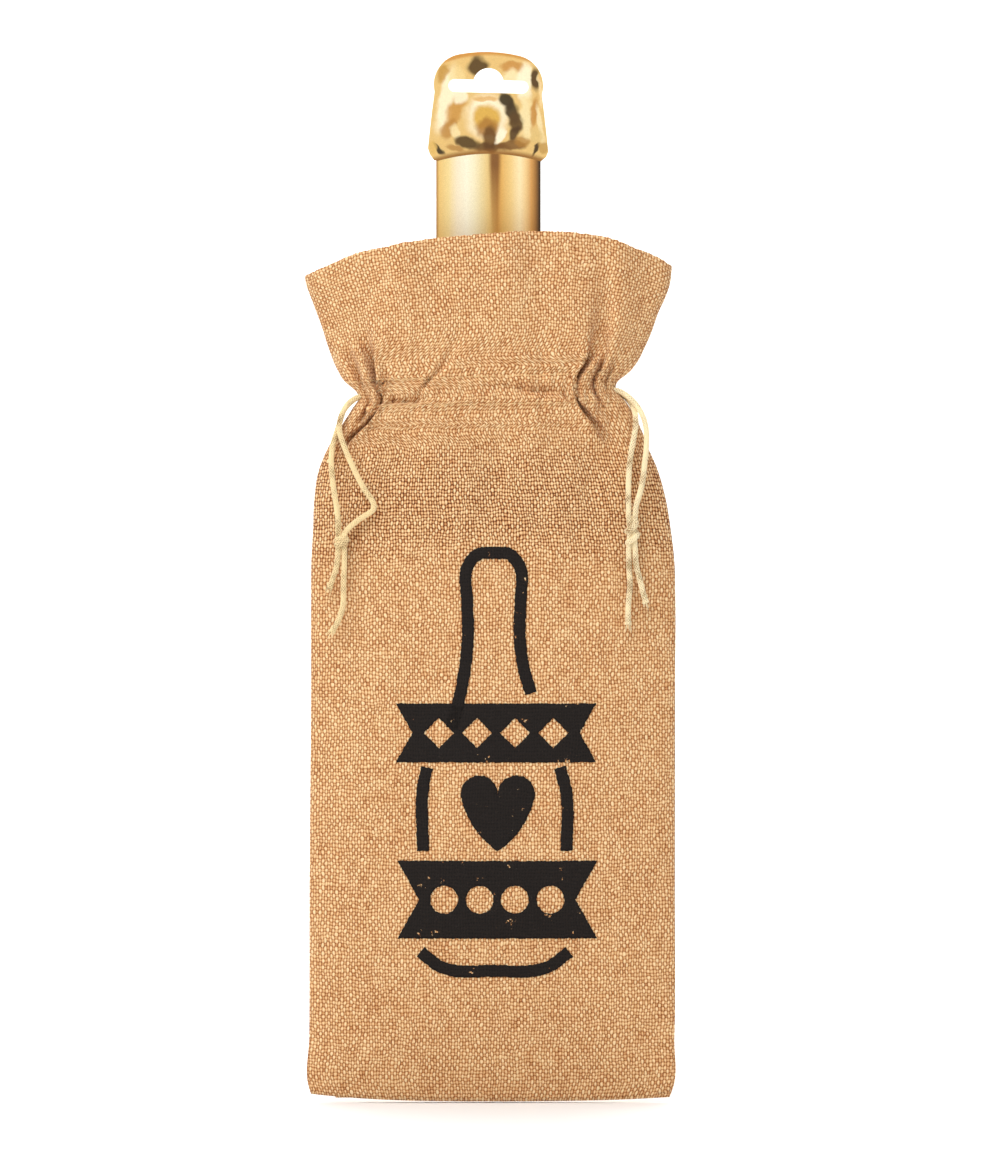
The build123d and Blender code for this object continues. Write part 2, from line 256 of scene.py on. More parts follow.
def channelRoute(side, slitHeight, runHeight):
    front = [
        (-47.6, -2.7, slitHeight), (-46.35, -2.6, slitHeight), (-42.8, -2.5, runHeight),
        (-27.0, -5.6, runHeight), (-9.0, -7.6, runHeight), (9.0, -7.6, runHeight - 0.1),
        (27.0, -5.6, runHeight), (42.4, -2.6, runHeight), (46.4, -2.0, runHeight), (47.6, -0.8, runHeight),
    ]
    back = [(x, -y, height) for x, y, height in reversed(front)]
    return [(-side * x, y, height) for x, y, height in front + back]


routes = {
    "left_cord_channel_run": channelRoute(-1, slitHeights["left"], 285.9),
    "right_cord_channel_run": channelRoute(1, slitHeights["right"], 289.2),
    "left_cord_front_strand": [
        (-47.6, -2.7, 286.4), (-49.6, -2.9, 286.4), (-54.2, -3.0, 284.9), (-59.0, -4.4, 280.0),
        (-60.9, -6.6, 272.8), (-58.0, -8.4, 264.4), (-54.4, -9.4, 256.0), (-50.6, -9.8, 248.6),
        (-46.6, -10.0, 243.4), (-45.9, -10.0, 239.6), (-49.4, -10.0, 237.6), (-53.6, -9.8, 234.8),
        (-57.0, knotY - 0.5, 231.8), (leftX + strandGap, knotY, leftTop),
    ],
    "left_cord_back_strand": [
        (-47.6, 2.7, 286.4), (-49.4, 2.2, 286.4), (-54.4, 1.6, 285.2), (-58.4, -0.2, 281.4),
        (-60.6, -3.4, 273.8), (-63.6, -6.8, 264.2), (-63.4, -8.6, 254.8), (-62.2, -9.5, 246.2),
        (-60.9, -9.6, 238.4), (leftX - strandGap, knotY, 234.0), (leftX - strandGap, knotY, leftTop),
    ],
    "left_cord_short_tail": [
        (leftX - strandGap, knotY, leftLow), (leftX - strandGap, knotY, 218.9),
        (-62.3, -8.9, 213.2), (-64.2, -8.6, 208.0),
    ],
    "left_cord_long_tail": [
        (leftX + strandGap, knotY, leftLow), (leftX + strandGap, knotY, 217.4),
        (-58.6, -9.1, 209.6), (-58.4, -9.0, 201.8), (-60.2, -8.9, 195.2), (-63.2, -8.7, 190.2),
    ],
    "right_cord_front_strand": [
        (47.6, -2.7, 288.8), (49.4, -2.6, 288.8), (54.6, -3.0, 287.4), (60.2, -4.6, 282.4),
        (63.8, -6.4, 275.0), (64.1, -8.0, 266.2), (63.0, -9.2, 257.8), (62.2, -9.7, 249.8),
        (60.2, -9.7, 243.2), (rightX + strandGap, knotY, 240.0), (rightX + strandGap, knotY, rightTop),
    ],
    "right_cord_back_strand": [
        (47.6, 2.7, 288.8), (49.4, 2.2, 288.8), (54.2, 1.4, 287.2), (58.4, -1.6, 282.4),
        (60.0, -6.2, 276.2), (59.0, -9.0, 269.6), (57.2, -9.9, 260.8), (56.6, -10.1, 252.2),
        (56.5, -9.8, 244.6), (rightX - strandGap, knotY, 240.6), (rightX - strandGap, knotY, rightTop),
    ],
    "right_cord_long_tail": [
        (rightX - strandGap, knotY, rightLow), (rightX - strandGap, knotY, 217.0),
        (57.4, -9.1, 209.0), (56.3, -9.0, 200.8), (56.5, -8.9, 193.4),
    ],
    "right_cord_short_tail": [
        (rightX + strandGap, knotY, rightLow), (rightX + strandGap, knotY, 218.4),
        (60.9, -9.0, 212.6), (62.2, -8.9, 207.2), (63.7, -8.7, 202.0),
    ],
}


def cordLine(name, points):
    # The cord's smooth centre line, read back from its NURBS route (mm, heights above the bottom seam)
    curve = bpy.data.curves.new(name + "Route", "CURVE")
    curve.dimensions = "3D"
    spline = curve.splines.new("NURBS")
    spline.points.add(len(points) - 1)
    for point, (x, y, height) in zip(spline.points, points):
        point.co = (x, y, height, 1)
    spline.order_u = 3
    spline.use_endpoint_u = True
    spline.resolution_u = 14
    holder = bpy.data.objects.new(name + "Route", curve)
    mesh = bpy.data.meshes.new_from_object(holder)
    line = np.array([v.co for v in mesh.vertices])
    bpy.data.objects.remove(holder)
    bpy.data.curves.remove(curve)
    bpy.data.meshes.remove(mesh)
    return line


def evenly(line, step):
    # The same line with points a fixed distance apart
    lengths = np.concatenate([[0], np.cumsum(np.linalg.norm(np.diff(line, axis=0), axis=1))])
    at = np.linspace(0, lengths[-1], max(4, int(lengths[-1] / step)))
    return np.stack([np.interp(at, lengths, line[:, k]) for k in range(3)], 1), at


def carriedFrames(line):
    # Two sideways directions at each point of a line, carried along it without twisting
    tangents = np.gradient(line, axis=0)
    tangents /= np.linalg.norm(tangents, axis=1)[:, None]
    side = np.cross(tangents[0], (0.0, 1.0, 0.2))
    sides = []
    for tangent in tangents:
        side = side - tangent * np.dot(side, tangent)
        side = side / np.linalg.norm(side)
        sides.append(side)
    sides = np.array(sides)
    return sides, np.cross(tangents, sides)


def tubeAround(line, radius, sides):
    # Points and faces of a closed tube; radius may change along the line
    across, up = carriedFrames(line)
    turn = np.linspace(0, 2 * math.pi, sides, endpoint=False)
    radius = np.broadcast_to(radius, len(line))[:, None, None]
    ring = np.cos(turn)[None, :, None] * across[:, None] + np.sin(turn)[None, :, None] * up[:, None]
    points = (line[:, None] + radius * ring).reshape(-1, 3)
    count = len(line)
    index = np.arange(count * sides).reshape(count, sides)
    after = np.roll(index, -1, axis=1)
    faces = np.stack([index[:-1], after[:-1], after[1:], index[1:]], -1).reshape(-1, 4).tolist()
    return points, faces + [index[0][::-1].tolist(), index[-1].tolist()]


def gathered(parts):
    # One list of points and one of faces out of several such pairs
    points, faces, total = [], [], 0
    for partPoints, partFaces in parts:
        points.append(partPoints)
        faces += [[i + total for i in face] for face in partFaces]
        total += len(partPoints)
    return np.concatenate(points), faces


def braidedCord(name, line, step=cordSpec["step"], bareEnd=False):
    # A round braid: yarns wind both ways round a core and pass over and under each other
    spec = cordSpec
    line, along = evenly(line, step)
    across, up = carriedFrames(line)
    angle = 2 * math.pi * along / spec["lay"]
    flare = 1 + (0.35 * np.clip((along - along[-1] + 1.6) / 1.6, 0, 1) if bareEnd else 0 * along)
    parts = [tubeAround(line, 0.7 * spec["radius"], 8)]
    # Each point's value is a little random tone per yarn plus painted shade down between the yarns; the
    # hidden core gets a middling painted shade
    tintAndShade = [np.full(len(parts[0][0]), 0.35)]
    for way in (1, -1):
        radius = (spec["radius"] + way * spec["weave"] * np.cos(spec["carriers"] * angle)) * flare
        for k in range(spec["carriers"]):
            theta = way * angle + 2 * math.pi * k / spec["carriers"]
            yarn = line + radius[:, None] * (np.cos(theta)[:, None] * across + np.sin(theta)[:, None] * up)
            thick = spec["yarn"] * (1 + 0.06 * np.sin(along * 1.7 + 2 * k + way))
            parts.append(tubeAround(yarn, thick, spec["sides"]))
            # Darker down between the yarns, where light hardly gets in
            out = np.linalg.norm(parts[-1][0].reshape(len(line), -1, 3) - line[:, None], axis=2).ravel()
            tintAndShade.append(rng.uniform(0.0, 0.25) + 0.8 * np.clip((out - 0.86) / 0.34, 0, 1))
    for k in range(spec["hairs"] if bareEnd else 0):
        spread = rng.uniform(-1, 1, 3) * 0.75
        out = (line[-1] - line[-4]) / np.linalg.norm(line[-1] - line[-4])
        start = line[-1] - out * 0.5 + spread
        tip = start + out * rng.uniform(1.4, 2.6) + spread * 0.9
        hair = np.array([start, start + out * 0.9 + spread * 0.3, tip])
        parts.append(tubeAround(hair, 0.09, 4))
        tintAndShade.append(np.full(len(parts[-1][0]), 0.9))
    piece = makeMesh(name, *gathered(parts))
    shade = piece.data.attributes.new("yarnTintAndShade", "FLOAT", "POINT")
    shade.data.foreach_set("value", np.concatenate(tintAndShade).astype(np.float32))
    return piece, line


def knotLine(x, low, high, turns, reach):
    # The wraps of an overhand knot round the two strands, as an uneven rising coil
    count = int(turns * 12)
    points = []
    for i in range(count + 1):
        share = i / count
        a = 2 * math.pi * turns * share + 0.7
        swell = reach * (0.72 + 0.42 * math.sin(math.pi * min(1, share * 1.08)))
        points.append((x + swell * 1.12 * math.cos(a), knotY + swell * 0.9 * math.sin(a),
                       low + 1.0 + (high - low - 2.0) * share + 0.8 * math.sin(a + 0.8)))
    return points


knots = {
    "left_cord_knot": {"x": leftX, "low": leftLow, "high": leftTop, "turns": 1.9, "reach": 1.75},
    "right_cord_knot": {"x": rightX, "low": rightLow, "high": rightTop, "turns": 2.35, "reach": 1.72},
}


def makeCords():
    made, lines = {}, {}
    for name, points in routes.items():
        hidden = "channel" in name
        step = cordSpec["hiddenStep"] if hidden else cordSpec["step"]
        made[name], lines[name] = braidedCord(name, cordLine(name, points), step, "tail" in name)
    for name, knot in knots.items():
        wraps = knotLine(knot["x"], knot["low"], knot["high"], knot["turns"], knot["reach"])
        coil, _ = braidedCord(name + "_wraps", cordLine(name, wraps))
        cores = []
        for offset in (-0.95, 0.95):
            inner = [(knot["x"] + s * offset, knotY, h) for s, h in (
                (1.3, knot["high"] + 0.2), (0.9, (knot["high"] * 2 + knot["low"]) / 3),
                (1.0, (knot["high"] + knot["low"] * 2) / 3), (1.3, knot["low"] - 0.2))]
            cores.append(braidedCord(name + "_core", cordLine(name, inner))[0])
        with bpy.context.temp_override(active_object=coil, selected_editable_objects=[coil, *cores],
                                       object=coil, selected_objects=[coil, *cores]):
            bpy.ops.object.join()
        coil.name = name
        made[name] = coil
    return made, lines


cordPieces, cordLines = makeCords()
print("cords made:", len(cordPieces))

# Cloth
cloth = {
    "cut": 150.0,           # width of each panel between its side seams, laid flat
    "thickness": 0.7,
    "neck": 288.0,          # height of the drawn-in line
    "columns": 161,
    "rollRadius": 0.75,     # the mouth's edge is a fold
    "stitchedAt": 5.7,      # the channel's two rows of stitches lie this far above and below the neck
    "leftArch": 0.298,      # above the neck the rows arch: the drop at each seam per mm of height
    "rightArch": 0.12,
    "backDip": 1.2,         # the back's mouth hangs this much lower in the middle
    "ragged": 0.22,         # the folded edge follows its coarse threads
    "tightness": 0.8,       # narrows every gathered valley
}

# left and right edge of the bag at each height
leftEdge = [
    (0, -72.0), (3, -72.9), (25, -72.7), (90, -72.6), (170, -72.0), (205, -72.0), (219, -71.9),
    (232, -71.2), (244, -70.7), (256, -68.9), (265, -65.4), (270, -62.8), (276, -59.0), (282, -55.3),
    (287, -52.6),
    (288.5, -53.4), (292.4, -58.4), (296.5, -61.3), (304.6, -65.0), (312.7, -67.8), (320.8, -70.8),
    (329, -73.6), (335, -74.9), (352, -77.0),
]
rightEdge = [
    (0, 73.4), (3, 74.6), (25, 75.5), (90, 75.7), (170, 75.8), (205, 75.9), (219, 75.5), (232, 74.0),
    (244, 72.0), (256, 68.6), (265, 64.6), (270, 62.7), (276, 59.8), (282, 56.0), (288, 51.6),
    (290, 52.2), (294, 57.0), (298.5, 60.4), (304.6, 63.2), (312.7, 66.3), (320.8, 68.7), (329, 71.7),
    (335, 73.4), (346, 74.6), (352, 75.2),
]
rimLine = [(-77, 333.8), (-65, 338.7), (-54.6, 343.0), (-42, 345.8), (-30, 348.1), (0, 351.0), (21, 352.0),
           (38, 351.2), (50, 349.2), (60, 345.4), (71, 341.0), (77, 337.4)]
middleDepth = [(0, 1.9), (7, 3.6), (24, 6.0), (60, 7.9), (120, 8.7), (205, 8.7), (232, 8.9), (247, 9.2),
               (262, 9.9), (276, 11.0), (288, 11.2), (300, 11.6), (320, 12.8), (352, 14.2)]

# Folds gathered into the neck: where each valley runs, how deep and how wide it is at each height,
# how far it leans under its neighbour, and the soft roll that it throws up on each side
frontFolds = [
    {"path": [(326, -55), (313, -51), (303, -48.6), (295.3, -46.9), (290.4, -45.4), (285.5, -44.0),
              (280.7, -46.4), (275.5, -50.0), (271, -55.2), (262, -63)],
     "depth": [(336, 0), (322, 1.6), (310, 3.4), (301, 5.8), (294, 6.2), (290, 4.6), (285, 4.3), (280, 5.8),
               (273, 5.4), (267, 2.6), (256, 0)],
     "width": [(336, 9), (316, 4.4), (304, 2.0), (294, 1.1), (286, 0.9), (276, 1.0), (268, 1.9), (256, 4)],
     "lean": 0.40, "roll": 0.26},
    {"path": [(304, -40), (290.4, -41.9), (285.3, -42.3), (281.6, -45), (276, -48)],
     "depth": [(304, 0), (295, 1.2), (288, 1.8), (283, 1.5), (276, 0)],
     "width": [(304, 2.5), (290, 0.9), (282, 0.9), (276, 1.5)],
     "lean": 0.2, "roll": 0.35},
    {"path": [(320, -62), (303, -55.6), (290.4, -51.0), (287.3, -49.5), (284.3, -48.4), (279.5, -50.6),
              (272, -55), (264, -61)],
     "depth": [(326, 0), (308, 2.2), (296, 4.2), (290, 3.0), (284, 2.6), (279, 3.4), (272, 1.8), (262, 0)],
     "width": [(322, 6), (300, 2.0), (290, 1.0), (284, 0.9), (276, 1.5), (262, 4)],
     "lean": 0.2, "roll": 0.2},
    {"path": [(330, -6), (306, -14), (298, -18.6), (292, -24.5), (286, -28.2), (276, -31)],
     "depth": [(330, 0), (308, 0.8), (297, 1.7), (289, 1.5), (282, 0.6), (272, 0)],
     "width": [(330, 8), (300, 2.2), (288, 1.3), (276, 3)],
     "lean": -0.2, "roll": 0.3},
    {"path": [(330, 47), (310, 44), (299, 41.2), (296.5, 39.4), (291.4, 36.2), (286.2, 35.8), (281.7, 37.6),
              (277.8, 40.4), (274, 44), (262, 52)],
     "depth": [(334, 0), (318, 1.6), (308, 3.2), (300, 5.8), (295, 6.0), (290, 4.6), (286, 4.6), (281, 5.8),
               (275, 4.4), (268, 2.2), (254, 0)],
     "width": [(334, 8), (310, 3.0), (300, 1.6), (292, 1.0), (286, 0.95), (277, 1.3), (268, 2.8), (254, 6)],
     "lean": -0.40, "roll": 0.28},
    {"path": [(340, 47), (312, 46.5), (300, 45.6), (296, 44.4), (291.4, 42.5), (286.8, 42.7), (282, 45),
              (272, 51)],
     "depth": [(352, 0.8), (330, 1.8), (310, 2.8), (299, 4.2), (289, 3.8), (283, 2.8), (275, 1.0),
               (266, 0)],
     "width": [(352, 6), (330, 5), (305, 2.6), (292, 1.0), (284, 1.1), (270, 4)],
     "lean": 0.22, "roll": 0.24},
    {"path": [(304, 53), (296, 49.6), (290, 47.2), (286, 47.6), (278, 51)],
     "depth": [(304, 0), (296, 1.8), (290, 2.0), (285, 1.4), (278, 0)],
     "width": [(304, 2.5), (292, 0.9), (285, 0.9), (278, 2)],
     "lean": 0.2, "roll": 0.3},
    {"path": [(320, 24), (304, 22), (292, 21), (284, 22.5), (268, 27)],
     "depth": [(322, 0), (304, 0.5), (293, 0.9), (286, 0.7), (276, 0.3), (264, 0)],
     "width": [(322, 7), (296, 2.4), (284, 2.0), (264, 5)],
     "lean": 0.0, "roll": 0.3},
]


def mirroredFolds(folds, shift):
    # The back is gathered like the front, but its folds fall a little differently
    made = []
    for i, fold in enumerate(folds):
        nudge = shift * math.sin(2.3 * i + 1)
        path = [(h, -x * 0.94 + nudge + 0.04 * (h - 288)) for h, x in fold["path"]]
        made.append({**fold, "path": path, "lean": -fold["lean"]})
    return made


backFolds = mirroredFolds(frontFolds, 2.2)


def softWaves(x, h, seed):
    # Slow uneven waves that keep the cloth from lying dead flat, about 1 high at most
    total = 0
    for k in range(7):
        a = 0.9 + 1.7 * seed + 2.4 * k
        kx, kh = 0.035 + 0.021 * k, 0.022 + 0.012 * ((k * 3) % 5)
        total = total + np.sin(kx * x * math.cos(a) + kh * h * math.sin(a) * 1.6 + a * 3) / (1 + 0.35 * k)
    return total / 3.2


def bagRow(h, side, folds):
    # One level line round a panel: x and depth at fine steps, before it is shared out by cloth length
    # Above the neck the rows arch, so at the seams they stand lower than in the middle
    arch = max(h - cloth["neck"], 0)
    left = smoothThrough(leftEdge, h - cloth["leftArch"] * arch)
    right = smoothThrough(rightEdge, h - cloth["rightArch"] * arch)
    centre, half = (left + right) / 2, (right - left) / 2
    spread = np.sin(np.linspace(-math.pi / 2, math.pi / 2, 2400))
    x = centre + half * spread
    depth = smoothThrough(middleDepth, h)
    near = np.exp(-((h - cloth["neck"]) / 16)**2)
    out = depth * (1 - np.abs(spread)**(2.3 + 1.9 * near))**(0.60 - 0.19 * near)
    rim = np.clip((1 - np.abs(spread)) * half / 6, 0, 1)      # nothing bulges at the seams themselves
    shift = np.zeros_like(x)
    for fold in folds:
        place = smoothThrough(fold["path"], h)
        deep = smoothThrough(fold["depth"], h)
        wide = cloth["tightness"] * smoothThrough(fold["width"], h)
        valley = np.exp(-np.abs((x - place) / wide)**2.4)
        rolls = np.exp(-((x - place - 2.4 * wide) / (1.6 * wide))**2)
        rolls = rolls + np.exp(-((x - place + 2.4 * wide) / (1.6 * wide))**2)
        out = out + rim * (fold["roll"] * deep * rolls - deep * valley)
        shift = shift + fold["lean"] * deep * valley * rim
    pucker = near * (0.30 * np.sin(x * 1.35 + 0.8 * np.sin(h * 0.21)) + 0.16 * np.sin(x * 2.9 + h * 0.12))
    below = np.clip((cloth["neck"] - h) / 26, 0, 1) * np.exp(-((cloth["neck"] - h) / 60)**2)
    drag = below * (0.9 * np.sin(0.17 * x + 0.045 * (h - 280) + side) + 0.5 * np.sin(0.31 * x - 0.06 * h))
    wavy = 0.75 * softWaves(x, h, 1 + side)
    flute = 0.9 * np.sin(0.155 * x + 1.1 + 0.4 * side) + 0.5 * np.sin(0.29 * x + side)
    flute = np.clip((h - 296) / 40, 0, 1) * flute
    out = out + rim * (pucker + drag + wavy + flute)
    return x + shift, np.maximum(out, 0.0)


# Where the drawn cord pinches the cloth: x and height
pinchLine = [(-50, 286.0), (-38, 284.6), (-28, 284.4), (-16, 286.0), (-4, 289.0), (6, 289.4), (18, 287.6),
             (30, 285.6), (36, 281.0), (42, 277.0), (50, 275.0)]


def drawnLine(x, h):
    # The drawn channel pinches the cloth in, mostly beside the gathers, and puffs it out just above and below
    middle = smoothThrough(pinchLine, x)
    beside = 1.1 * np.exp(-((x + 34) / 7)**2) + np.exp(-((x - 20) / 14)**2) + 0.12
    total = 2.3 * np.exp(-((h - middle) / 1.3)**2)
    total = total - 0.7 * np.exp(-((h - middle - 4.0) / 2.2)**2)
    total = total - 0.8 * np.exp(-((h - middle + 4.4) / 2.8)**2)
    stitched = 0.4 * np.exp(-((h - cloth["neck"] - cloth["stitchedAt"] - 1.2 * x / 52) / 0.8)**2)
    return (total * beside + stitched) * (1 + 0.25 * np.sin(1.1 * x))


def panelHeights():
    low = np.arange(0.0, 250.0, 2.2)
    neck = np.arange(250.0, 312.0, 0.72)
    return np.concatenate([low, neck, np.linspace(312.0, 352.0, 30)])


def panelGrid(side, folds):
    # Rows of points shared out evenly along the cloth, so that its threads keep their spacing in the folds
    heights = panelHeights()
    flat = np.linspace(0, 1, cloth["columns"])
    top = heights[-1]
    ragged = rng.uniform(-cloth["ragged"], cloth["ragged"], len(flat))
    grid = np.empty((len(heights), len(flat), 3))
    for i, h in enumerate(heights):
        x, out = bagRow(h, side, folds)
        length = np.concatenate([[0], np.cumsum(np.hypot(np.diff(x), np.diff(out)))])
        length /= length[-1]
        px, py = np.interp(flat, length, x), np.interp(flat, length, out)
        py = np.maximum(py - drawnLine(px, h), 0)
        # Above the neck the rows fan out to the arched rim; at the foot they follow the bowed bottom seam
        share = np.clip((h - cloth["neck"]) / (top - cloth["neck"]), 0, 1)
        rim = smoothThrough(rimLine, px) - cloth["rollRadius"]
        if side > 0:
            rim = rim - cloth["backDip"] * (1 - (px / 80)**2)
        lift = share * (rim - top) + share**12 * ragged
        tilt = 1.25 * px / 52 * math.exp(-((h - cloth["neck"]) / 24)**2)
        foot = math.exp(-h / 26) * np.where(px < 0, 3.1, 1.6) * np.abs(px / 74)**2.6
        grid[i] = np.stack([px, side * py, h + lift + tilt + foot], -1)
    return grid, flat * cloth["cut"], heights


def gridNormals(grid, side):
    down, across = np.gradient(grid, axis=0), np.gradient(grid, axis=1)
    normal = np.cross(across, down)
    normal /= np.linalg.norm(normal, axis=2)[..., None] + 1e-12
    flip = np.sign(normal[..., 1].sum()) * side
    return normal * (flip if flip else 1)


def panelPiece(name, grid, u, heights, side):
    # The panel, with its mouth edge rolled over to the inside
    inward = -gridNormals(grid, side)[-1]
    inward[:, 2] = 0
    rows = [grid]
    for turn in (35, 75, 120, 165):
        a = math.radians(turn)
        r = cloth["rollRadius"]
        edge = grid[-1] + inward * r * (1 - math.cos(a))
        edge[:, 2] += r * math.sin(a)
        rows.append(edge[None])
    points = np.concatenate(rows)
    v = np.concatenate([heights, heights[-1] + np.array([0.45, 0.95, 1.5, 2.1])])
    uvs = np.stack(np.broadcast_arrays(u[None, :], v[:, None]), -1).reshape(-1, 2)
    faces = gridFaces(len(v), len(u), flip=side > 0)
    return thickened(makeMesh(name, points.reshape(-1, 3), faces, uvs), cloth["thickness"], -1)


def hemPiece(name, grid, u, heights, side):
    # The turned-in layer: it hangs inside the panel and stands off it where the cords run
    keep = heights > 279.0
    rows, v = grid[keep], heights[keep]
    normal = gridNormals(grid, side)[keep]
    edge = np.clip(np.minimum(u, cloth["cut"] - u) / 7, 0, 1)[None, :]
    room = 1.55 + 1.5 * np.exp(-((v - 287.5) / 6.5)**2)[:, None]
    inside = rows - normal * (room * edge)[..., None]
    inside[..., 1] = np.where(side * inside[..., 1] < 0.25, side * 0.25, inside[..., 1])
    inside[..., 2] -= 0.35 * (v[:, None] > 345)
    uvs = np.stack(np.broadcast_arrays(u[None, :] + 37.0, v[:, None] * -1 + 700), -1).reshape(-1, 2)
    faces = gridFaces(len(v), len(u), flip=side > 0)
    return thickened(makeMesh(name, inside.reshape(-1, 3), faces, uvs), cloth["thickness"], -1)


frontGrid, clothAcross, clothUp = panelGrid(-1, frontFolds)
backGrid, _, _ = panelGrid(1, backFolds)
frontPanel = panelPiece("front_panel_cloth", frontGrid, clothAcross, clothUp, -1)
backPanel = panelPiece("back_panel_cloth", backGrid, clothAcross, clothUp, 1)
frontHem = hemPiece("front_mouth_hem_cloth", frontGrid, clothAcross, clothUp, -1)
backHem = hemPiece("back_mouth_hem_cloth", backGrid, clothAcross, clothUp, 1)
print("cloth made:", len(frontPanel.data.vertices), "points a panel")

# Stitching, seams and bar tacks
sewing = {
    "length": 2.3,          # of one stitch, and the distance from stitch to stitch
    "pitch": 3.1,
    "thread": 0.22,
    "seam": 6.0,            # width of the seam allowances
    "seamThickness": 0.5,
    "tackThread": 0.17,
    "tackPitch": 0.3,
    "tackFromSlit": 4.6,
}


def clothPoint(grid, u, h):
    # Where a place on the flat cloth lies on the gathered panel
    row = np.clip(np.searchsorted(clothUp, h) - 1, 0, len(clothUp) - 2)
    part = (h - clothUp[row]) / (clothUp[row + 1] - clothUp[row])
    column = np.clip(u / cloth["cut"] * (cloth["columns"] - 1), 0, cloth["columns"] - 1.001)
    c = int(column)
    share = column - c
    low = grid[row, c] * (1 - share) + grid[row, c + 1] * share
    high = grid[row + 1, c] * (1 - share) + grid[row + 1, c + 1] * share
    return low * (1 - part) + high * part


def stitchRow(name, height):
    # Lock stitches through the channel, each one diving into the cloth at both ends
    tubes = []
    for side, grid in ((-1, frontGrid), (1, backGrid)):
        normal = gridNormals(grid, side)
        start = rng.uniform(0, 1)
        for k in range(int((cloth["cut"] - 4) / sewing["pitch"])):
            u0 = 2 + (k + start) * sewing["pitch"] + rng.uniform(-0.15, 0.15)
            if u0 + sewing["length"] > cloth["cut"] - 1:
                break
            line = []
            drop = rng.uniform(-0.12, 0.12)
            for s in np.linspace(0, 1, 6):
                u = u0 + s * sewing["length"]
                lift = 0.20 * math.sin(math.pi * s)**0.5 - 0.12 if 0 < s < 1 else -0.35
                row = min(int(np.searchsorted(clothUp, height)), len(clothUp) - 1)
                column = min(int(u / cloth["cut"] * (cloth["columns"] - 1)), cloth["columns"] - 1)
                line.append(clothPoint(grid, u, height + drop * s) + normal[row, column] * lift)
            tubes.append(tubeAround(np.array(line), sewing["thread"], 6))
    return makeMesh(name, *gathered(tubes))


def seamStrip(name, side):
    # The two raw allowances of a side seam, pressed to one side inside the bag
    heights = np.arange(3.0, 262.0, 3.0)
    points, faces = [], []
    edge = leftEdge if side < 0 else rightEdge
    for layer in (-0.32, 0.32):
        start = len(points)
        for h in heights:
            outer = float(smoothThrough(edge, h)) - side * 1.3
            for k in range(7):
                x = outer - side * sewing["seam"] * k / 6
                fray = 0.35 * math.sin(h * 1.9 + 3 * layer) * (k == 6)
                points.append((x + fray, layer + 0.08 * math.sin(0.3 * h + k), h))
        faces += (gridFaces(len(heights), 7) + start).tolist()
    return thickened(makeMesh(name, points, faces, [(p[0], p[2]) for p in points]), sewing["seamThickness"])


def bottomStrip(name):
    xs = np.arange(-62.0, 66.0, 3.0)
    points, faces = [], []
    for layer in (-0.32, 0.32):
        start = len(points)
        for k in range(6):
            for x in xs:
                fray = 0.3 * math.sin(x * 1.7 + 2 * layer) * (k == 5)
                points.append((x, layer, 1.4 + sewing["seam"] * k / 5 + fray))
        faces += (gridFaces(6, len(xs)) + start).tolist()
    return thickened(makeMesh(name, points, faces, [(p[0], p[2]) for p in points]), sewing["seamThickness"])


def barTacks(name, side, slitHeight):
    # Close satin stitches wrapped over the edge above and below the cord's way out
    tubes = []
    edge = frontGrid[:, 0 if side < 0 else -1]
    for middle in (slitHeight - sewing["tackFromSlit"], slitHeight + sewing["tackFromSlit"]):
        for k in range(7):
            h = middle + (k - 3) * sewing["tackPitch"]
            x = float(np.interp(h, edge[:, 2], edge[:, 0]))
            line = [(x - side * 1.5, -1.9, h), (x - side * 0.6, -1.2, h), (x - side * 0.2, 0.0, h + 0.05),
                    (x - side * 0.6, 1.2, h), (x - side * 1.5, 1.9, h)]
            tubes.append(tubeAround(np.array(line), sewing["tackThread"], 6))
    return makeMesh(name, *gathered(tubes))


upperStitches = stitchRow("channel_stitches_upper", cloth["neck"] + cloth["stitchedAt"])
lowerStitches = stitchRow("channel_stitches_lower", cloth["neck"] - cloth["stitchedAt"])
leftSeam = seamStrip("left_side_seam_allowance", -1)
rightSeam = seamStrip("right_side_seam_allowance", 1)
bottomSeam = bottomStrip("bottom_seam_allowance")
leftTacks = barTacks("left_slit_tack_thread", -1, slitHeights["left"])
rightTacks = barTacks("right_slit_tack_thread", 1, slitHeights["right"])
print("sewing made")

# Printed motif
motifSpec = {
    "middle": 2.2,          # x of the bottle's middle line; the shapes below count from it
    "line": 4.9,            # width of the outline
    "film": 0.1,
    "lift": 0.16,
    "edgeStep": 0.62,       # the ink's edge breaks on the threads
    "edgeRough": 0.2,
    "fill": 1.5,
    "upperRibbon": (-39.6, 41.4, 137.6, 161.4),     # left, right, low, high
    "lowerRibbon": (-39.0, 41.8, 66.4, 97.8),
    "diamond": 6.08,        # half widths of the holes in the ribbons
    "disc": 5.6,
    "heart": (1.6, 116.6, 30.0),        # x, height, size
    "outline": [
        [(-17.0, 151.5), (-12.2, 172.0), (-10.4, 190.0), (-10.8, 203.0), (-10.4, 217.0), (-6.5, 221.6),
         (0, 222.2), (6.5, 221.6), (10.4, 217.0), (10.8, 203.0), (10.4, 190.0), (12.0, 176.0), (15.0, 165.5)],
        [(-27.0, 135.6), (-28.5, 128.0), (-28.6, 101.8)],
        [(26.6, 135.6), (29.0, 127.0), (29.4, 101.8)],
        [(-29.6, 61.0), (-22.0, 55.2), (0, 53.3), (22.5, 55.2), (30.6, 61.0)],
    ],
}


def resampled(loop, step):
    # A closed outline with points about a step apart, its corners kept
    out = []
    for a, b in zip(loop, np.roll(loop, -1, axis=0)):
        count = max(1, int(round(np.linalg.norm(b - a) / step)))
        out += [a + (b - a) * i / count for i in range(count)]
    return np.array(out)


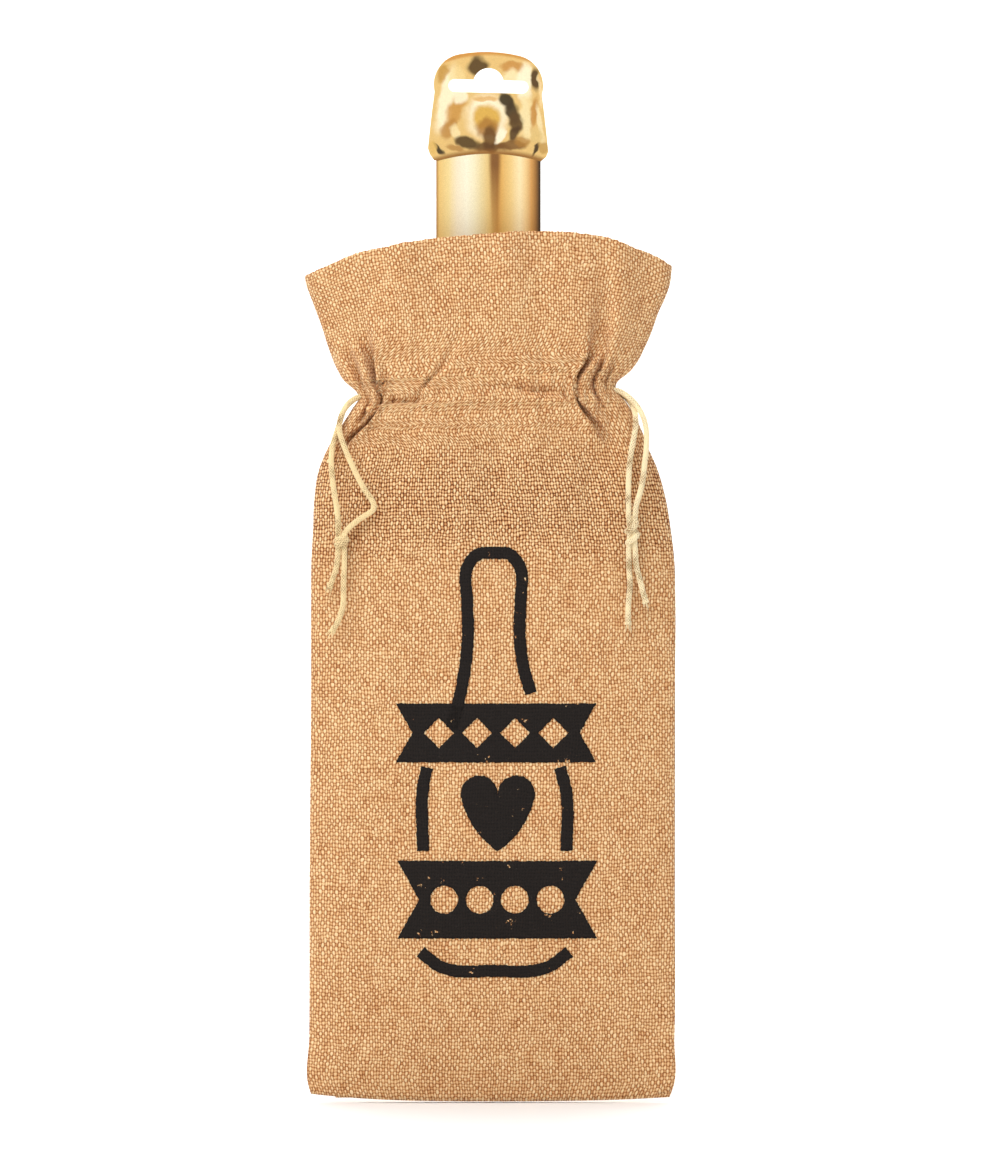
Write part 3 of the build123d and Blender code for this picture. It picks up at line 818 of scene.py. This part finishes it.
def strokeLoop(points, width):
    # Outline of a printed line that follows a smooth curve through the points
    points = np.array(points, float)
    lengths = np.concatenate([[0], np.cumsum(np.linalg.norm(np.diff(points, axis=0), axis=1))])
    at = np.linspace(0, lengths[-1], int(lengths[-1] / 0.8))
    line = np.stack([smoothThrough(list(zip(lengths, points[:, k])), at) for k in (0, 1)], 1)
    along = np.gradient(line, axis=0)
    along /= np.linalg.norm(along, axis=1)[:, None]
    across = np.stack([-along[:, 1], along[:, 0]], 1) * width / 2
    return np.concatenate([line + across, (line - across)[::-1]])


def ribbonLoops(left, right, low, high, cut):
    middle, notch = (low + high) / 2, (high - low) * 0.28
    loops = [np.array([(left, low), (right, low), (right - notch, middle), (right, high),
                       (left, high), (left + notch, middle)], float)]
    step = (right - left - 2 * notch - 6.0) / 4
    for i in range(4):
        loops.append(np.array(cut) + (left + notch + 3.0 + step * (i + 0.5), middle))
    return loops


def arcPoints(start, middle, end, count=14):
    # Points of the circle through three places, from start to end
    (ax, ay), (bx, by), (cx, cy) = start, middle, end
    d = 2 * (ax * (by - cy) + bx * (cy - ay) + cx * (ay - by))
    ux = ((ax**2 + ay**2) * (by - cy) + (bx**2 + by**2) * (cy - ay) + (cx**2 + cy**2) * (ay - by)) / d
    uy = ((ax**2 + ay**2) * (cx - bx) + (bx**2 + by**2) * (ax - cx) + (cx**2 + cy**2) * (bx - ax)) / d
    a, b, c = [math.atan2(y - uy, x - ux) for x, y in (start, middle, end)]
    turn = (c - a) % (2 * math.pi)
    if (b - a) % (2 * math.pi) > turn:
        turn -= 2 * math.pi
    r = math.hypot(ax - ux, ay - uy)
    angles = [a + turn * k / count for k in range(count)]
    return [(ux + r * math.cos(angle), uy + r * math.sin(angle)) for angle in angles]


def heartLoop(x, height, size):
    lobe = size / 4
    half = arcPoints((0, lobe), (lobe, 2.1 * lobe), (2 * lobe, lobe))
    half += arcPoints((2 * lobe, lobe), (1.45 * lobe, -0.45 * lobe), (0, -2 * lobe))
    mirrored = [(-px, py) for px, py in half[:0:-1]]
    return np.array(half + [(0, -2 * lobe)] + mirrored, float) + (x, height)


def motifShapes():
    m = motifSpec["middle"]
    corners = np.arange(4) * math.pi / 2
    turn = np.linspace(0, 2 * math.pi, 40, endpoint=False)
    diamond = [(motifSpec["diamond"] * math.cos(a), motifSpec["diamond"] * math.sin(a)) for a in corners]
    disc = [(motifSpec["disc"] * math.cos(a), motifSpec["disc"] * math.sin(a)) for a in turn]
    shapes = []
    for line in motifSpec["outline"]:
        shapes.append([strokeLoop([(m + x, height) for x, height in line], motifSpec["line"])])
    for ribbon, cut in (("upperRibbon", diamond), ("lowerRibbon", disc)):
        left, right, low, high = motifSpec[ribbon]
        shapes.append(ribbonLoops(m + left, m + right, low, high, cut))
    x, height, size = motifSpec["heart"]
    shapes.append([heartLoop(m + x, height, size)])
    return shapes


def insideLoops(points, loops):
    inside = np.zeros(len(points), bool)
    for loop in loops:
        ax, ay = loop[:, 0], loop[:, 1]
        bx, by = np.roll(ax, -1), np.roll(ay, -1)
        px, py = points[:, :1], points[:, 1:]
        crosses = (ay > py) != (by > py)
        at = ax + (py - ay) * (bx - ax) / np.where(by == ay, 1e-9, by - ay)
        inside ^= (np.sum(crosses & (px < at), axis=1) % 2).astype(bool)
    return inside


def onFrontPanel(points):
    # Depth of the cloth, and the place on the flat cloth, under each (x, height) of the print
    out = np.empty((len(points), 3))
    uvs = np.empty((len(points), 2))
    for i, (x, h) in enumerate(points):
        row = min(max(int(np.searchsorted(clothUp, h)) - 1, 0), len(clothUp) - 2)
        part = (h - clothUp[row]) / (clothUp[row + 1] - clothUp[row])
        depth = u = 0.0
        for r, share in ((row, 1 - part), (row + 1, part)):
            line = frontGrid[r]
            depth += share * np.interp(x, line[:, 0], line[:, 1])
            u += share * np.interp(x, line[:, 0], clothAcross)
        out[i] = (x, depth - motifSpec["lift"], h)
        uvs[i] = (u, h)
    return out, uvs


def printedMotif():
    points, faces, uvs, total = [], [], [], 0
    for loops in motifShapes():
        rough = []
        for loop in loops:
            fine = resampled(loop, motifSpec["edgeStep"])
            rough.append(fine + rng.uniform(-1, 1, fine.shape) * motifSpec["edgeRough"])
        corners = np.concatenate(rough)
        edges, start = [], 0
        for loop in rough:
            edges += [(start + i, start + (i + 1) % len(loop)) for i in range(len(loop))]
            start += len(loop)
        low, high = corners.min(0), corners.max(0)
        step = motifSpec["fill"]
        rows = np.arange(low[1], high[1], step)
        fill = np.array([(x, y) for x in np.arange(low[0], high[0], step) for y in rows])
        fill = fill[insideLoops(fill, rough)]
        everything = np.concatenate([corners, fill])
        made = delaunay_2d_cdt([Vector(p) for p in everything], edges, [], 0, 1e-5)
        flat = np.array([v[:] for v in made[0]])
        triangles = np.array(made[2])
        triangles = triangles[insideLoops(flat[triangles].mean(1), rough)]
        placed, placedUv = onFrontPanel(flat)
        used = np.unique(triangles)
        order = np.full(len(flat), -1)
        order[used] = np.arange(len(used)) + total
        points.append(placed[used])
        uvs.append(placedUv[used])
        faces += order[triangles].tolist()
        total += len(used)
    piece = makeMesh("printed_motif_ink", np.concatenate(points), faces, np.concatenate(uvs))
    return thickened(piece, motifSpec["film"], 1.0)


motifPiece = printedMotif()
print("motif made:", len(motifPiece.data.polygons), "faces")

# Materials
weave = {
    "warpPitch": 1.15,      # mm between threads of coarse jute, up and across
    "weftPitch": 1.45,
    "thickness": 0.5,
    "base": 0.56,           # colour value of an average thread, then how much each thing changes it
    # heightShade: thread height painted into the colour, low parts as painted shade and high tops as painted
    # highlight
    "heightShade": 0.84,
    # warpLight: the threads along lighter and those going across darker, as painted shade
    "warpLight": 0.33,
    "crossing": 0.12,
    "slub": 0.30,
    "lots": 0.10,
    "openAt": 243.0,        # height on the shoulder where the weave is pulled open, and how much painted shade its gaps get
    "open": 0.5,
}
# from the dark down between the threads to the lit tops of the palest ones
juteShades = [(0.0, "#582C17"), (0.2, "#96582E"), (0.4, "#BF8150"), (0.58, "#D19D68"), (0.78, "#E4B986"),
              (1.0, "#F3D5A6")]


def weaveNodes(tree):
    # Plain weave worked out on the flat cloth: gives the threads' height and a 0-1 value for their colour,
    # with painted shade in the gaps and painted highlight on the thread tops
    flatCloth = addNode(tree, "UVMap", uv_map="flatCloth").outputs[0]
    perThread = (1 / uvPerMm / weave["warpPitch"], 1 / uvPerMm / weave["weftPitch"], 1)
    threads = addNode(tree, "VectorMath", {0: flatCloth, 1: perThread}, operation="MULTIPLY")
    wander = addNode(tree, "TexNoise", {"Vector": threads, "Scale": 0.12, "Detail": 3.0,
                                        "Roughness": 0.65})
    centred = addNode(tree, "VectorMath", {0: wander.outputs["Color"], 1: (0.5, 0.5, 0.5)},
                      operation="SUBTRACT")
    moved = addNode(tree, "VectorMath", {0: centred, 1: (2.6, 2.6, 0), 2: threads},
                    operation="MULTIPLY_ADD")
    split = addNode(tree, "SeparateXYZ", {0: moved})
    found = {}
    for name, across, along in (("warp", "X", "Y"), ("weft", "Y", "X")):
        a, b = split.outputs[across], split.outputs[along]
        wave = addNode(tree, "Math", {0: a, 1: math.pi}, operation="MULTIPLY")
        wave = addNode(tree, "Math", {0: wave}, operation="SINE")
        number = addNode(tree, "Math", {0: a}, operation="FLOOR")
        own = addNode(tree, "Math", {0: number, 1: 7.31}, operation="MULTIPLY")
        run = addNode(tree, "Math", {0: b, 1: 0.22}, operation="MULTIPLY")
        apart = 3.0 if name == "warp" else 9.0
        place = addNode(tree, "CombineXYZ", {0: own, 1: run, 2: apart})
        slub = addNode(tree, "TexNoise", {"Vector": place, "Scale": 1.0, "Detail": 2.0})
        found[name] = {"wave": wave.outputs[0], "slub": slub.outputs[0]}
    heights = []
    for name, other, way in (("warp", "weft", 1.0), ("weft", "warp", -1.0)):
        here, there = found[name], found[other]
        sign = addNode(tree, "Math", {0: here["wave"]}, operation="SIGN")
        ride = addNode(tree, "Math", {0: sign, 1: there["wave"]}, operation="MULTIPLY")
        rounded = addNode(tree, "Math", {0: here["wave"]}, operation="ABSOLUTE")
        profile = addNode(tree, "Math", {0: rounded, 1: 0.7}, operation="POWER")
        fat = addNode(tree, "MapRange", {0: here["slub"], 1: 0.3, 2: 0.7, 3: 0.62, 4: 1.0})
        body = addNode(tree, "Math", {0: profile, 1: fat}, operation="MULTIPLY")
        height = addNode(tree, "Math", {0: ride, 1: 0.42 * way, 2: body}, operation="MULTIPLY_ADD")
        heights.append(height.outputs[0])
    top = addNode(tree, "Math", {0: heights[0], 1: heights[1]}, operation="MAXIMUM")
    fibres = addNode(tree, "TexNoise", {"Vector": threads, "Scale": 3.4, "Detail": 2.0})
    height = addNode(tree, "Math", {0: fibres, 1: 0.34, 2: top}, operation="MULTIPLY_ADD")
    # Each crossing has its own random tone; the threads going across are painted darker and browner, as
    # shade, and those along lighter
    cell = addNode(tree, "VectorMath", {0: moved}, operation="FLOOR")
    own = addNode(tree, "TexWhiteNoise", {"Vector": cell}, noise_dimensions="2D")
    onWarp = addNode(tree, "Math", {0: heights[0], 1: heights[1]}, operation="GREATER_THAN")
    slub = addNode(tree, "Mix", {0: onWarp, 2: found["weft"]["slub"], 3: found["warp"]["slub"]})
    lots = addNode(tree, "TexNoise", {"Vector": flatCloth, "Scale": 4.0, "Detail": 3.0})
    parts = [(height.outputs[0], "heightShade", 1.0), (onWarp.outputs[0], "warpLight", 0.5),
             (own.outputs["Value"], "crossing", 0.5), (slub.outputs[0], "slub", 0.5),
             (lots.outputs[0], "lots", 0.5)]
    value = weave["base"] - sum(weave[name] * middle for _, name, middle in parts)
    for source, name, _ in parts:
        value = addNode(tree, "Math", {0: source, 1: weave[name], 2: value}, operation="MULTIPLY_ADD")
        value = value.outputs[0]
    # Over the shoulder the weave is pulled open, so its gaps get more painted shade there
    upCloth = addNode(tree, "SeparateXYZ", {0: flatCloth}).outputs["Y"]
    shoulder = addNode(tree, "Math", {0: upCloth, 1: weave["openAt"] * uvPerMm}, operation="SUBTRACT")
    shoulder = addNode(tree, "Math", {0: shoulder}, operation="ABSOLUTE")
    openness = addNode(tree, "MapRange", {0: shoulder, 1: 0.34, 2: 0.05, 3: 0.0, 4: weave["open"]},
                       interpolation_type="SMOOTHSTEP")
    gap = addNode(tree, "MapRange", {0: top, 1: 0.95, 2: 0.35, 3: 0.0, 4: 1.0})
    darker = addNode(tree, "Math", {0: gap, 1: openness}, operation="MULTIPLY")
    value = addNode(tree, "Math", {0: value, 1: darker}, operation="SUBTRACT").outputs[0]
    return height.outputs[0], value, flatCloth


def juteMaterial():
    # jute burlap, plain woven: coarse straw threads with painted shade in the gaps, quite matt, a faint fuzzy
    # sheen
    material, tree, shader = newMaterial("juteBurlapPlainWoven", {
        "Roughness": 0.92, "Sheen Weight": 0.12, "Sheen Roughness": 0.5, "Specular IOR Level": 0.2})
    height, value, _ = weaveNodes(tree)
    shades = addNode(tree, "ValToRGB", {0: value})
    setRamp(shades, juteShades)
    tree.links.new(shades.outputs[0], shader.inputs["Base Color"])
    bump = addNode(tree, "Bump", {"Height": height, "Strength": 0.75, "Distance": weave["thickness"] * mm})
    tree.links.new(bump.outputs[0], shader.inputs["Normal"])
    return material


def inkMaterial():
    # plastisol screen ink on jute: nearly black and matt, the weave shows through, worn off high threads
    material, tree, shader = newMaterial("screenInkOnJuteMatt", {
        "Roughness": 0.8, "Specular IOR Level": 0.2})
    height, value, flatCloth = weaveNodes(tree)
    shades = addNode(tree, "ValToRGB", {0: value})
    setRamp(shades, juteShades)
    patches = addNode(tree, "TexNoise", {"Vector": flatCloth, "Scale": 14.0, "Detail": 5.0,
                                         "Roughness": 0.7})
    flecks = addNode(tree, "TexNoise", {"Vector": flatCloth, "Scale": 85.0, "Detail": 2.0})
    both = addNode(tree, "Math", {0: flecks, 1: 0.35, 2: patches}, operation="MULTIPLY_ADD")
    worn = addNode(tree, "MapRange", {0: both, 1: 0.85, 2: 0.88, 3: 0.0, 4: 1.0})
    # The ink is painted lighter on high threads and darker low down: painted highlight and painted shade
    shade = addNode(tree, "ValToRGB", {0: height})
    setRamp(shade, [(0.3, "#080605"), (1.3, "#1C1613")])
    mixed = addNode(tree, "Mix", {0: worn, 6: shade, 7: shades}, data_type="RGBA")
    tree.links.new(mixed.outputs[2], shader.inputs["Base Color"])
    bump = addNode(tree, "Bump", {"Height": height, "Strength": 0.5, "Distance": weave["thickness"] * mm})
    tree.links.new(bump.outputs[0], shader.inputs["Normal"])
    return material


def cordMaterial(name, dark, light):
    # braided cotton cord: cream yarns with a soft dull surface, with painted shade down between the yarns
    material, tree, shader = newMaterial(name, {
        "Roughness": 0.85, "Sheen Weight": 0.15, "Specular IOR Level": 0.25})
    tintAndShade = addNode(tree, "Attribute", attribute_name="yarnTintAndShade")
    place = addNode(tree, "TexCoord").outputs["Object"]
    fibre = addNode(tree, "TexNoise", {"Vector": place, "Scale": 2600.0, "Detail": 2.0})
    patch = addNode(tree, "TexNoise", {"Vector": place, "Scale": 130.0, "Detail": 2.0})
    value = addNode(tree, "Math", {0: tintAndShade.outputs["Fac"], 1: 0.55, 2: patch}, operation="MULTIPLY_ADD")
    value = addNode(tree, "Math", {0: fibre, 1: 0.35, 2: value}, operation="MULTIPLY_ADD")
    ramp = addNode(tree, "ValToRGB", {0: value})
    setRamp(ramp, [(0.72, dark), (1.12, light)])
    tree.links.new(ramp.outputs[0], shader.inputs["Base Color"])
    bump = addNode(tree, "Bump", {"Height": fibre, "Strength": 0.4, "Distance": 0.06 * mm})
    tree.links.new(bump.outputs[0], shader.inputs["Normal"])
    return material


def threadMaterial():
    # spun polyester sewing thread in straw: fine, slightly glossy against the jute
    material, tree, shader = newMaterial("spunPolyesterThread", {"Roughness": 0.6})
    place = addNode(tree, "TexCoord").outputs["Object"]
    twist = addNode(tree, "TexNoise", {"Vector": place, "Scale": 3000.0})
    ramp = addNode(tree, "ValToRGB", {0: twist})
    setRamp(ramp, [(0.3, "#C69A64"), (0.7, "#F0CE97")])
    tree.links.new(ramp.outputs[0], shader.inputs["Base Color"])
    return material


def boardMaterial():
    # uncoated white board: flat greyish white with fine fibres, a little soft
    material, tree, shader = newMaterial("whiteBoardUncoated", {"Roughness": 0.8})
    place = addNode(tree, "TexCoord").outputs["Object"]
    fibres = addNode(tree, "TexNoise", {"Vector": place, "Scale": 900.0, "Detail": 4.0})
    cloud = addNode(tree, "TexNoise", {"Vector": place, "Scale": 45.0, "Detail": 3.0})
    value = addNode(tree, "Math", {0: fibres, 1: 0.5, 2: cloud}, operation="MULTIPLY_ADD")
    ramp = addNode(tree, "ValToRGB", {0: value})
    setRamp(ramp, [(0.45, "#D9D3C6"), (1.0, "#F2EEE5")])
    tree.links.new(ramp.outputs[0], shader.inputs["Base Color"])
    bump = addNode(tree, "Bump", {"Height": fibres, "Strength": 0.15, "Distance": 0.05 * mm})
    tree.links.new(bump.outputs[0], shader.inputs["Normal"])
    return material


slotHeight = 411.5      # the card's own heights count from its hang slot

# Creases of the printed foil: x and height of the middle, half width, half height, turn, colour, strength
foilCreases = [
    (-17.3, 406, 3.4, 14.0, -12, "#FAEFCB", 0.9),
    (14.5, 413, 3.4, 8.0, 0, "#FBF2D2", 0.9),
    (15.2, 399, 3.0, 10.0, 0, "#EFD9A0", 0.8),
    (-0.5, 399.5, 8.8, 9.5, 0, "#FBF0D0", 0.95),
    (-1.0, 406.8, 5.4, 1.4, 0, "#DCA95C", 0.8),
    (-13.4, 401.8, 3.5, 7.6, -24, "#C89244", 0.9),
    (-16.4, 394.0, 2.7, 4.8, -30, "#B5803A", 0.8),
    (-13.6, 392.8, 2.0, 3.4, 30, "#F3DDA6", 0.85),
    (-18.2, 416.8, 2.8, 4.2, -20, "#C0903F", 0.85),
    (-12.5, 416.0, 3.2, 4.5, 0, "#EED596", 0.7),
    (-11.6, 407.8, 3.2, 3.4, 40, "#FBF0CF", 0.85),
    (-4.3, 419.4, 4.4, 4.8, 0, "#58401A", 0.97),
    (9.3, 419.3, 4.6, 2.3, -10, "#C48A40", 0.85),
    (9.0, 415.2, 3.6, 3.4, 0, "#F6E4B2", 0.85),
    (19.2, 414.2, 2.0, 4.8, 4, "#4A3114", 0.95),
    (21.3, 409.5, 0.8, 7.0, 4, "#F4D9A4", 0.7),
    (-0.9, 398.6, 6.2, 5.6, 0, "#D6A843", 0.96),
    (-0.5, 394.4, 4.7, 4.2, 0, "#A9752F", 0.9),
    (0.4, 390.0, 2.8, 5.8, 0, "#684316", 0.92),
    (0.5, 386.6, 8.0, 2.0, 0, "#5B3A14", 0.9),
    (-8.8, 388.8, 5.4, 2.4, -12, "#513B18", 0.95),
    (-13.5, 386.4, 4.6, 1.4, -8, "#A87635", 0.75),
    (4.8, 391.6, 1.8, 4.4, -28, "#FBEFD2", 0.95),
    (7.4, 405.8, 2.7, 4.4, 24, "#32280F", 0.96),
    (9.7, 401.0, 2.9, 4.8, 26, "#433217", 0.96),
    (11.3, 396.8, 2.9, 4.6, 0, "#5B411D", 0.95),
    (10.3, 392.0, 2.3, 4.2, -14, "#4F3618", 0.94),
    (9.0, 387.2, 6.8, 1.9, 4, "#764D1F", 0.88),
    (13.9, 388.8, 3.4, 2.3, 0, "#AA7833", 0.75),
    (14.9, 399.0, 1.7, 8.5, 6, "#F0DDA8", 0.85),
    (18.5, 401.0, 1.9, 7.2, -8, "#C0873D", 0.88),
    (21.3, 396.0, 1.3, 9.0, 10, "#F2DFAE", 0.8),
    (19.9, 391.4, 3.0, 3.6, 0, "#DDBE7B", 0.75),
    (-20.2, 386.0, 0.9, 3.0, 32, "#2C2010", 0.95),
    (19.3, 385.8, 0.9, 3.2, -35, "#3A2710", 0.95),
    (-22.2, 386.6, 1.8, 3.0, 0, "#DDB463", 0.8),
    (22.7, 386.2, 2.4, 2.6, 0, "#BD934E", 0.8),
]


def foilPrintMaterial():
    # gold foil print under gloss film: a smooth sweep of cream, gold and brown on the neck like lit metal,
    # and crumpled patches on the cap
    material, tree, shader = newMaterial("goldPrintGlossFilm", {
        "Roughness": 0.38, "Specular IOR Level": 0.35})
    place = addNode(tree, "TexCoord").outputs["Object"]
    inMm = addNode(tree, "VectorMath", {0: place, 1: (1000, 1000, 1000)}, operation="MULTIPLY")
    split = addNode(tree, "SeparateXYZ", {0: inMm})
    x, z = split.outputs["X"], split.outputs["Z"]
    # The bottle is shaded like a lit cylinder across its width, which grows from the neck to the body
    halfWidth = addNode(tree, "MapRange", {0: z, 1: -158.0, 2: -215.5, 3: 21.2, 4: 45.2})
    across = addNode(tree, "Math", {0: x, 1: halfWidth}, operation="DIVIDE")
    across = addNode(tree, "MapRange", {0: across, 1: -1.0, 2: 1.0, 3: 0.0, 4: 1.0})
    sweep = addNode(tree, "ValToRGB", {0: across})
    setRamp(sweep, [
        (0.0, "#A06A30"), (0.03, "#EAC478"), (0.12, "#F0D898"), (0.2, "#F5E7C8"), (0.29, "#FAF3DA"),
        (0.36, "#F5EBC8"), (0.43, "#ECD9A4"), (0.5, "#E6C580"), (0.545, "#D9A95C"), (0.585, "#CF9548"),
        (0.63, "#E0B060"), (0.72, "#F0CF8A"), (0.8, "#FAE6B6"), (0.86, "#F0CC8E"), (0.91, "#D49C56"),
        (0.955, "#9A6C36"), (0.985, "#42301F"),
    ])
    streakAt = addNode(tree, "MapRange", {0: z, 1: -31.0, 2: -75.0, 3: 2.6, 4: 0.8})
    offMiddle = addNode(tree, "Math", {0: x, 1: 2.6}, operation="SUBTRACT")
    offMiddle = addNode(tree, "Math", {0: offMiddle}, operation="ABSOLUTE")
    offMiddle = addNode(tree, "Math", {0: offMiddle, 1: streakAt}, operation="DIVIDE")
    streak = addNode(tree, "MapRange", {0: offMiddle, 1: 0.35, 2: 1.25, 3: 1.0, 4: 0.0},
                     interpolation_type="SMOOTHSTEP")
    fade = addNode(tree, "MapRange", {0: z, 1: -62.0, 2: -32.0, 3: 0.0, 4: 0.95})
    streak = addNode(tree, "Math", {0: streak, 1: fade}, operation="MULTIPLY")
    neck = addNode(tree, "Mix", {0: streak, 6: sweep, 7: srgb("#7F5226")}, data_type="RGBA")
    # The cap is crumpled: soft facets laid one over another, wandering a little
    wander = addNode(tree, "TexNoise", {"Vector": inMm, "Scale": 0.16, "Detail": 2.0})
    wander = addNode(tree, "VectorMath", {0: wander.outputs["Color"], 1: (0.5, 0.5, 0.5)},
                     operation="SUBTRACT")
    moved = addNode(tree, "VectorMath", {0: wander, 1: (4.5, 0, 4.5), 2: inMm},
                    operation="MULTIPLY_ADD").outputs[0]
    layered = srgb("#E2BD77")
    for creaseX, height, wide, tall, turn, code, strength in foilCreases:
        middle = (creaseX, 0, height - slotHeight)
        rotation = (0, math.radians(-turn), 0)
        local = addNode(tree, "Mapping", {"Vector": moved, "Location": middle, "Rotation": rotation,
                                          "Scale": (wide, 1e4, tall)}, vector_type="TEXTURE")
        away = addNode(tree, "VectorMath", {0: local}, operation="LENGTH")
        soft = addNode(tree, "MapRange", {0: away.outputs["Value"], 1: 0.6, 2: 1.22, 3: strength, 4: 0.0},
                       interpolation_type="SMOOTHSTEP")
        layered = addNode(tree, "Mix", {0: soft, 6: layered, 7: srgb(code)}, data_type="RGBA")
        layered = layered.outputs[2]
    # The cap's foot is an arch, dark where it turns under, and its top edge is a brown rim
    arch = addNode(tree, "Math", {0: x, 1: x}, operation="MULTIPLY")
    foot = addNode(tree, "Math", {0: arch, 1: 0.0068, 2: z}, operation="MULTIPLY_ADD")
    shade = addNode(tree, "MapRange", {0: foot, 1: -24.6, 2: -27.0, 3: 0.0, 4: 0.9},
                    interpolation_type="SMOOTHSTEP")
    layered = addNode(tree, "Mix", {0: shade, 6: layered, 7: srgb("#8E5C24")}, data_type="RGBA")
    layered = layered.outputs[2]
    rim = addNode(tree, "Math", {0: arch, 1: 0.0098, 2: z}, operation="MULTIPLY_ADD")
    rimShade = addNode(tree, "MapRange", {0: rim, 1: 12.2, 2: 13.2, 3: 0.0, 4: 0.9})
    layered = addNode(tree, "Mix", {0: rimShade, 6: layered, 7: srgb("#CE8F3F")}, data_type="RGBA")
    layered = layered.outputs[2]
    onCap = addNode(tree, "Math", {0: foot, 1: -27.4}, operation="GREATER_THAN")
    colour = addNode(tree, "Mix", {0: onCap, 6: neck.outputs[2], 7: layered}, data_type="RGBA")
    grain = addNode(tree, "TexNoise", {"Vector": inMm, "Scale": 3.2, "Detail": 2.0})
    grainRamp = addNode(tree, "ValToRGB", {0: grain})
    setRamp(grainRamp, [(0.3, "#E7E4DF"), (0.7, "#F7F6F4")])
    printed = addNode(tree, "Mix", {0: 1.0, 6: colour.outputs[2], 7: grainRamp},
                      data_type="RGBA", blend_type="MULTIPLY")
    tree.links.new(printed.outputs[2], shader.inputs["Base Color"])
    return material


def paint(piece, material):
    piece.data.materials.clear()
    piece.data.materials.append(material)


jute = juteMaterial()
ink = inkMaterial()
thread = threadMaterial()
bagPieces = [
    (frontPanel, jute, "jute_cloth", "front_panel"), (backPanel, jute, "jute_cloth", "back_panel"),
    (frontHem, jute, "jute_cloth", "front_mouth_hem"), (backHem, jute, "jute_cloth", "back_mouth_hem"),
    (leftSeam, jute, "jute_cloth", "left_side_seam"), (rightSeam, jute, "jute_cloth", "right_side_seam"),
    (bottomSeam, jute, "jute_cloth", "bottom_seam"),
    (upperStitches, thread, "sewing_thread", "channel_stitch_upper"),
    (lowerStitches, thread, "sewing_thread", "channel_stitch_lower"),
    (leftTacks, thread, "sewing_thread", "left_slit_bar_tacks"),
    (rightTacks, thread, "sewing_thread", "right_slit_bar_tacks"),
    (motifPiece, ink, "screen_print_ink", "printed_motif"),
]
# One cream cord in two copies: the left one is painted darker as shade, the right one lighter as painted
# light
cordShadedLeft = cordMaterial("braidedCottonCreamShadedLeft", "#8F6632", "#F0D8A6")
cordLitRight = cordMaterial("braidedCottonCreamLitRight", "#9A7240", "#F7E5BC")
for piece, material, _, _ in bagPieces:
    paint(piece, material)
for name, piece in cordPieces.items():
    paint(piece, cordShadedLeft if name.startswith("left") else cordLitRight)
paint(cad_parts["display_card"], boardMaterial())
paint(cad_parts["card_print_film"], foilPrintMaterial())
print("materials made")

# What each piece rides on and stands for
for piece, _, slotName, node in bagPieces:
    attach(piece, "bag")
    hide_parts(node)


for name, piece in cordPieces.items():
    side = name.split("_")[0]
    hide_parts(name)
    piece.name = name + "_braid"
    if "strand" in name:
        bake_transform(piece)
    elif "channel" in name:
        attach(piece, "bag")
    else:
        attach(piece, side + "_cord_ends")

declared = {    # real length of each free stretch of cord
    "left_cord_front_strand": 0.073, "left_cord_back_strand": 0.067, "left_cord_long_tail": 0.035,
    "right_cord_front_strand": 0.062, "right_cord_back_strand": 0.061, "right_cord_long_tail": 0.031,
}
for name, length in declared.items():
    side = name.split("_")[0]
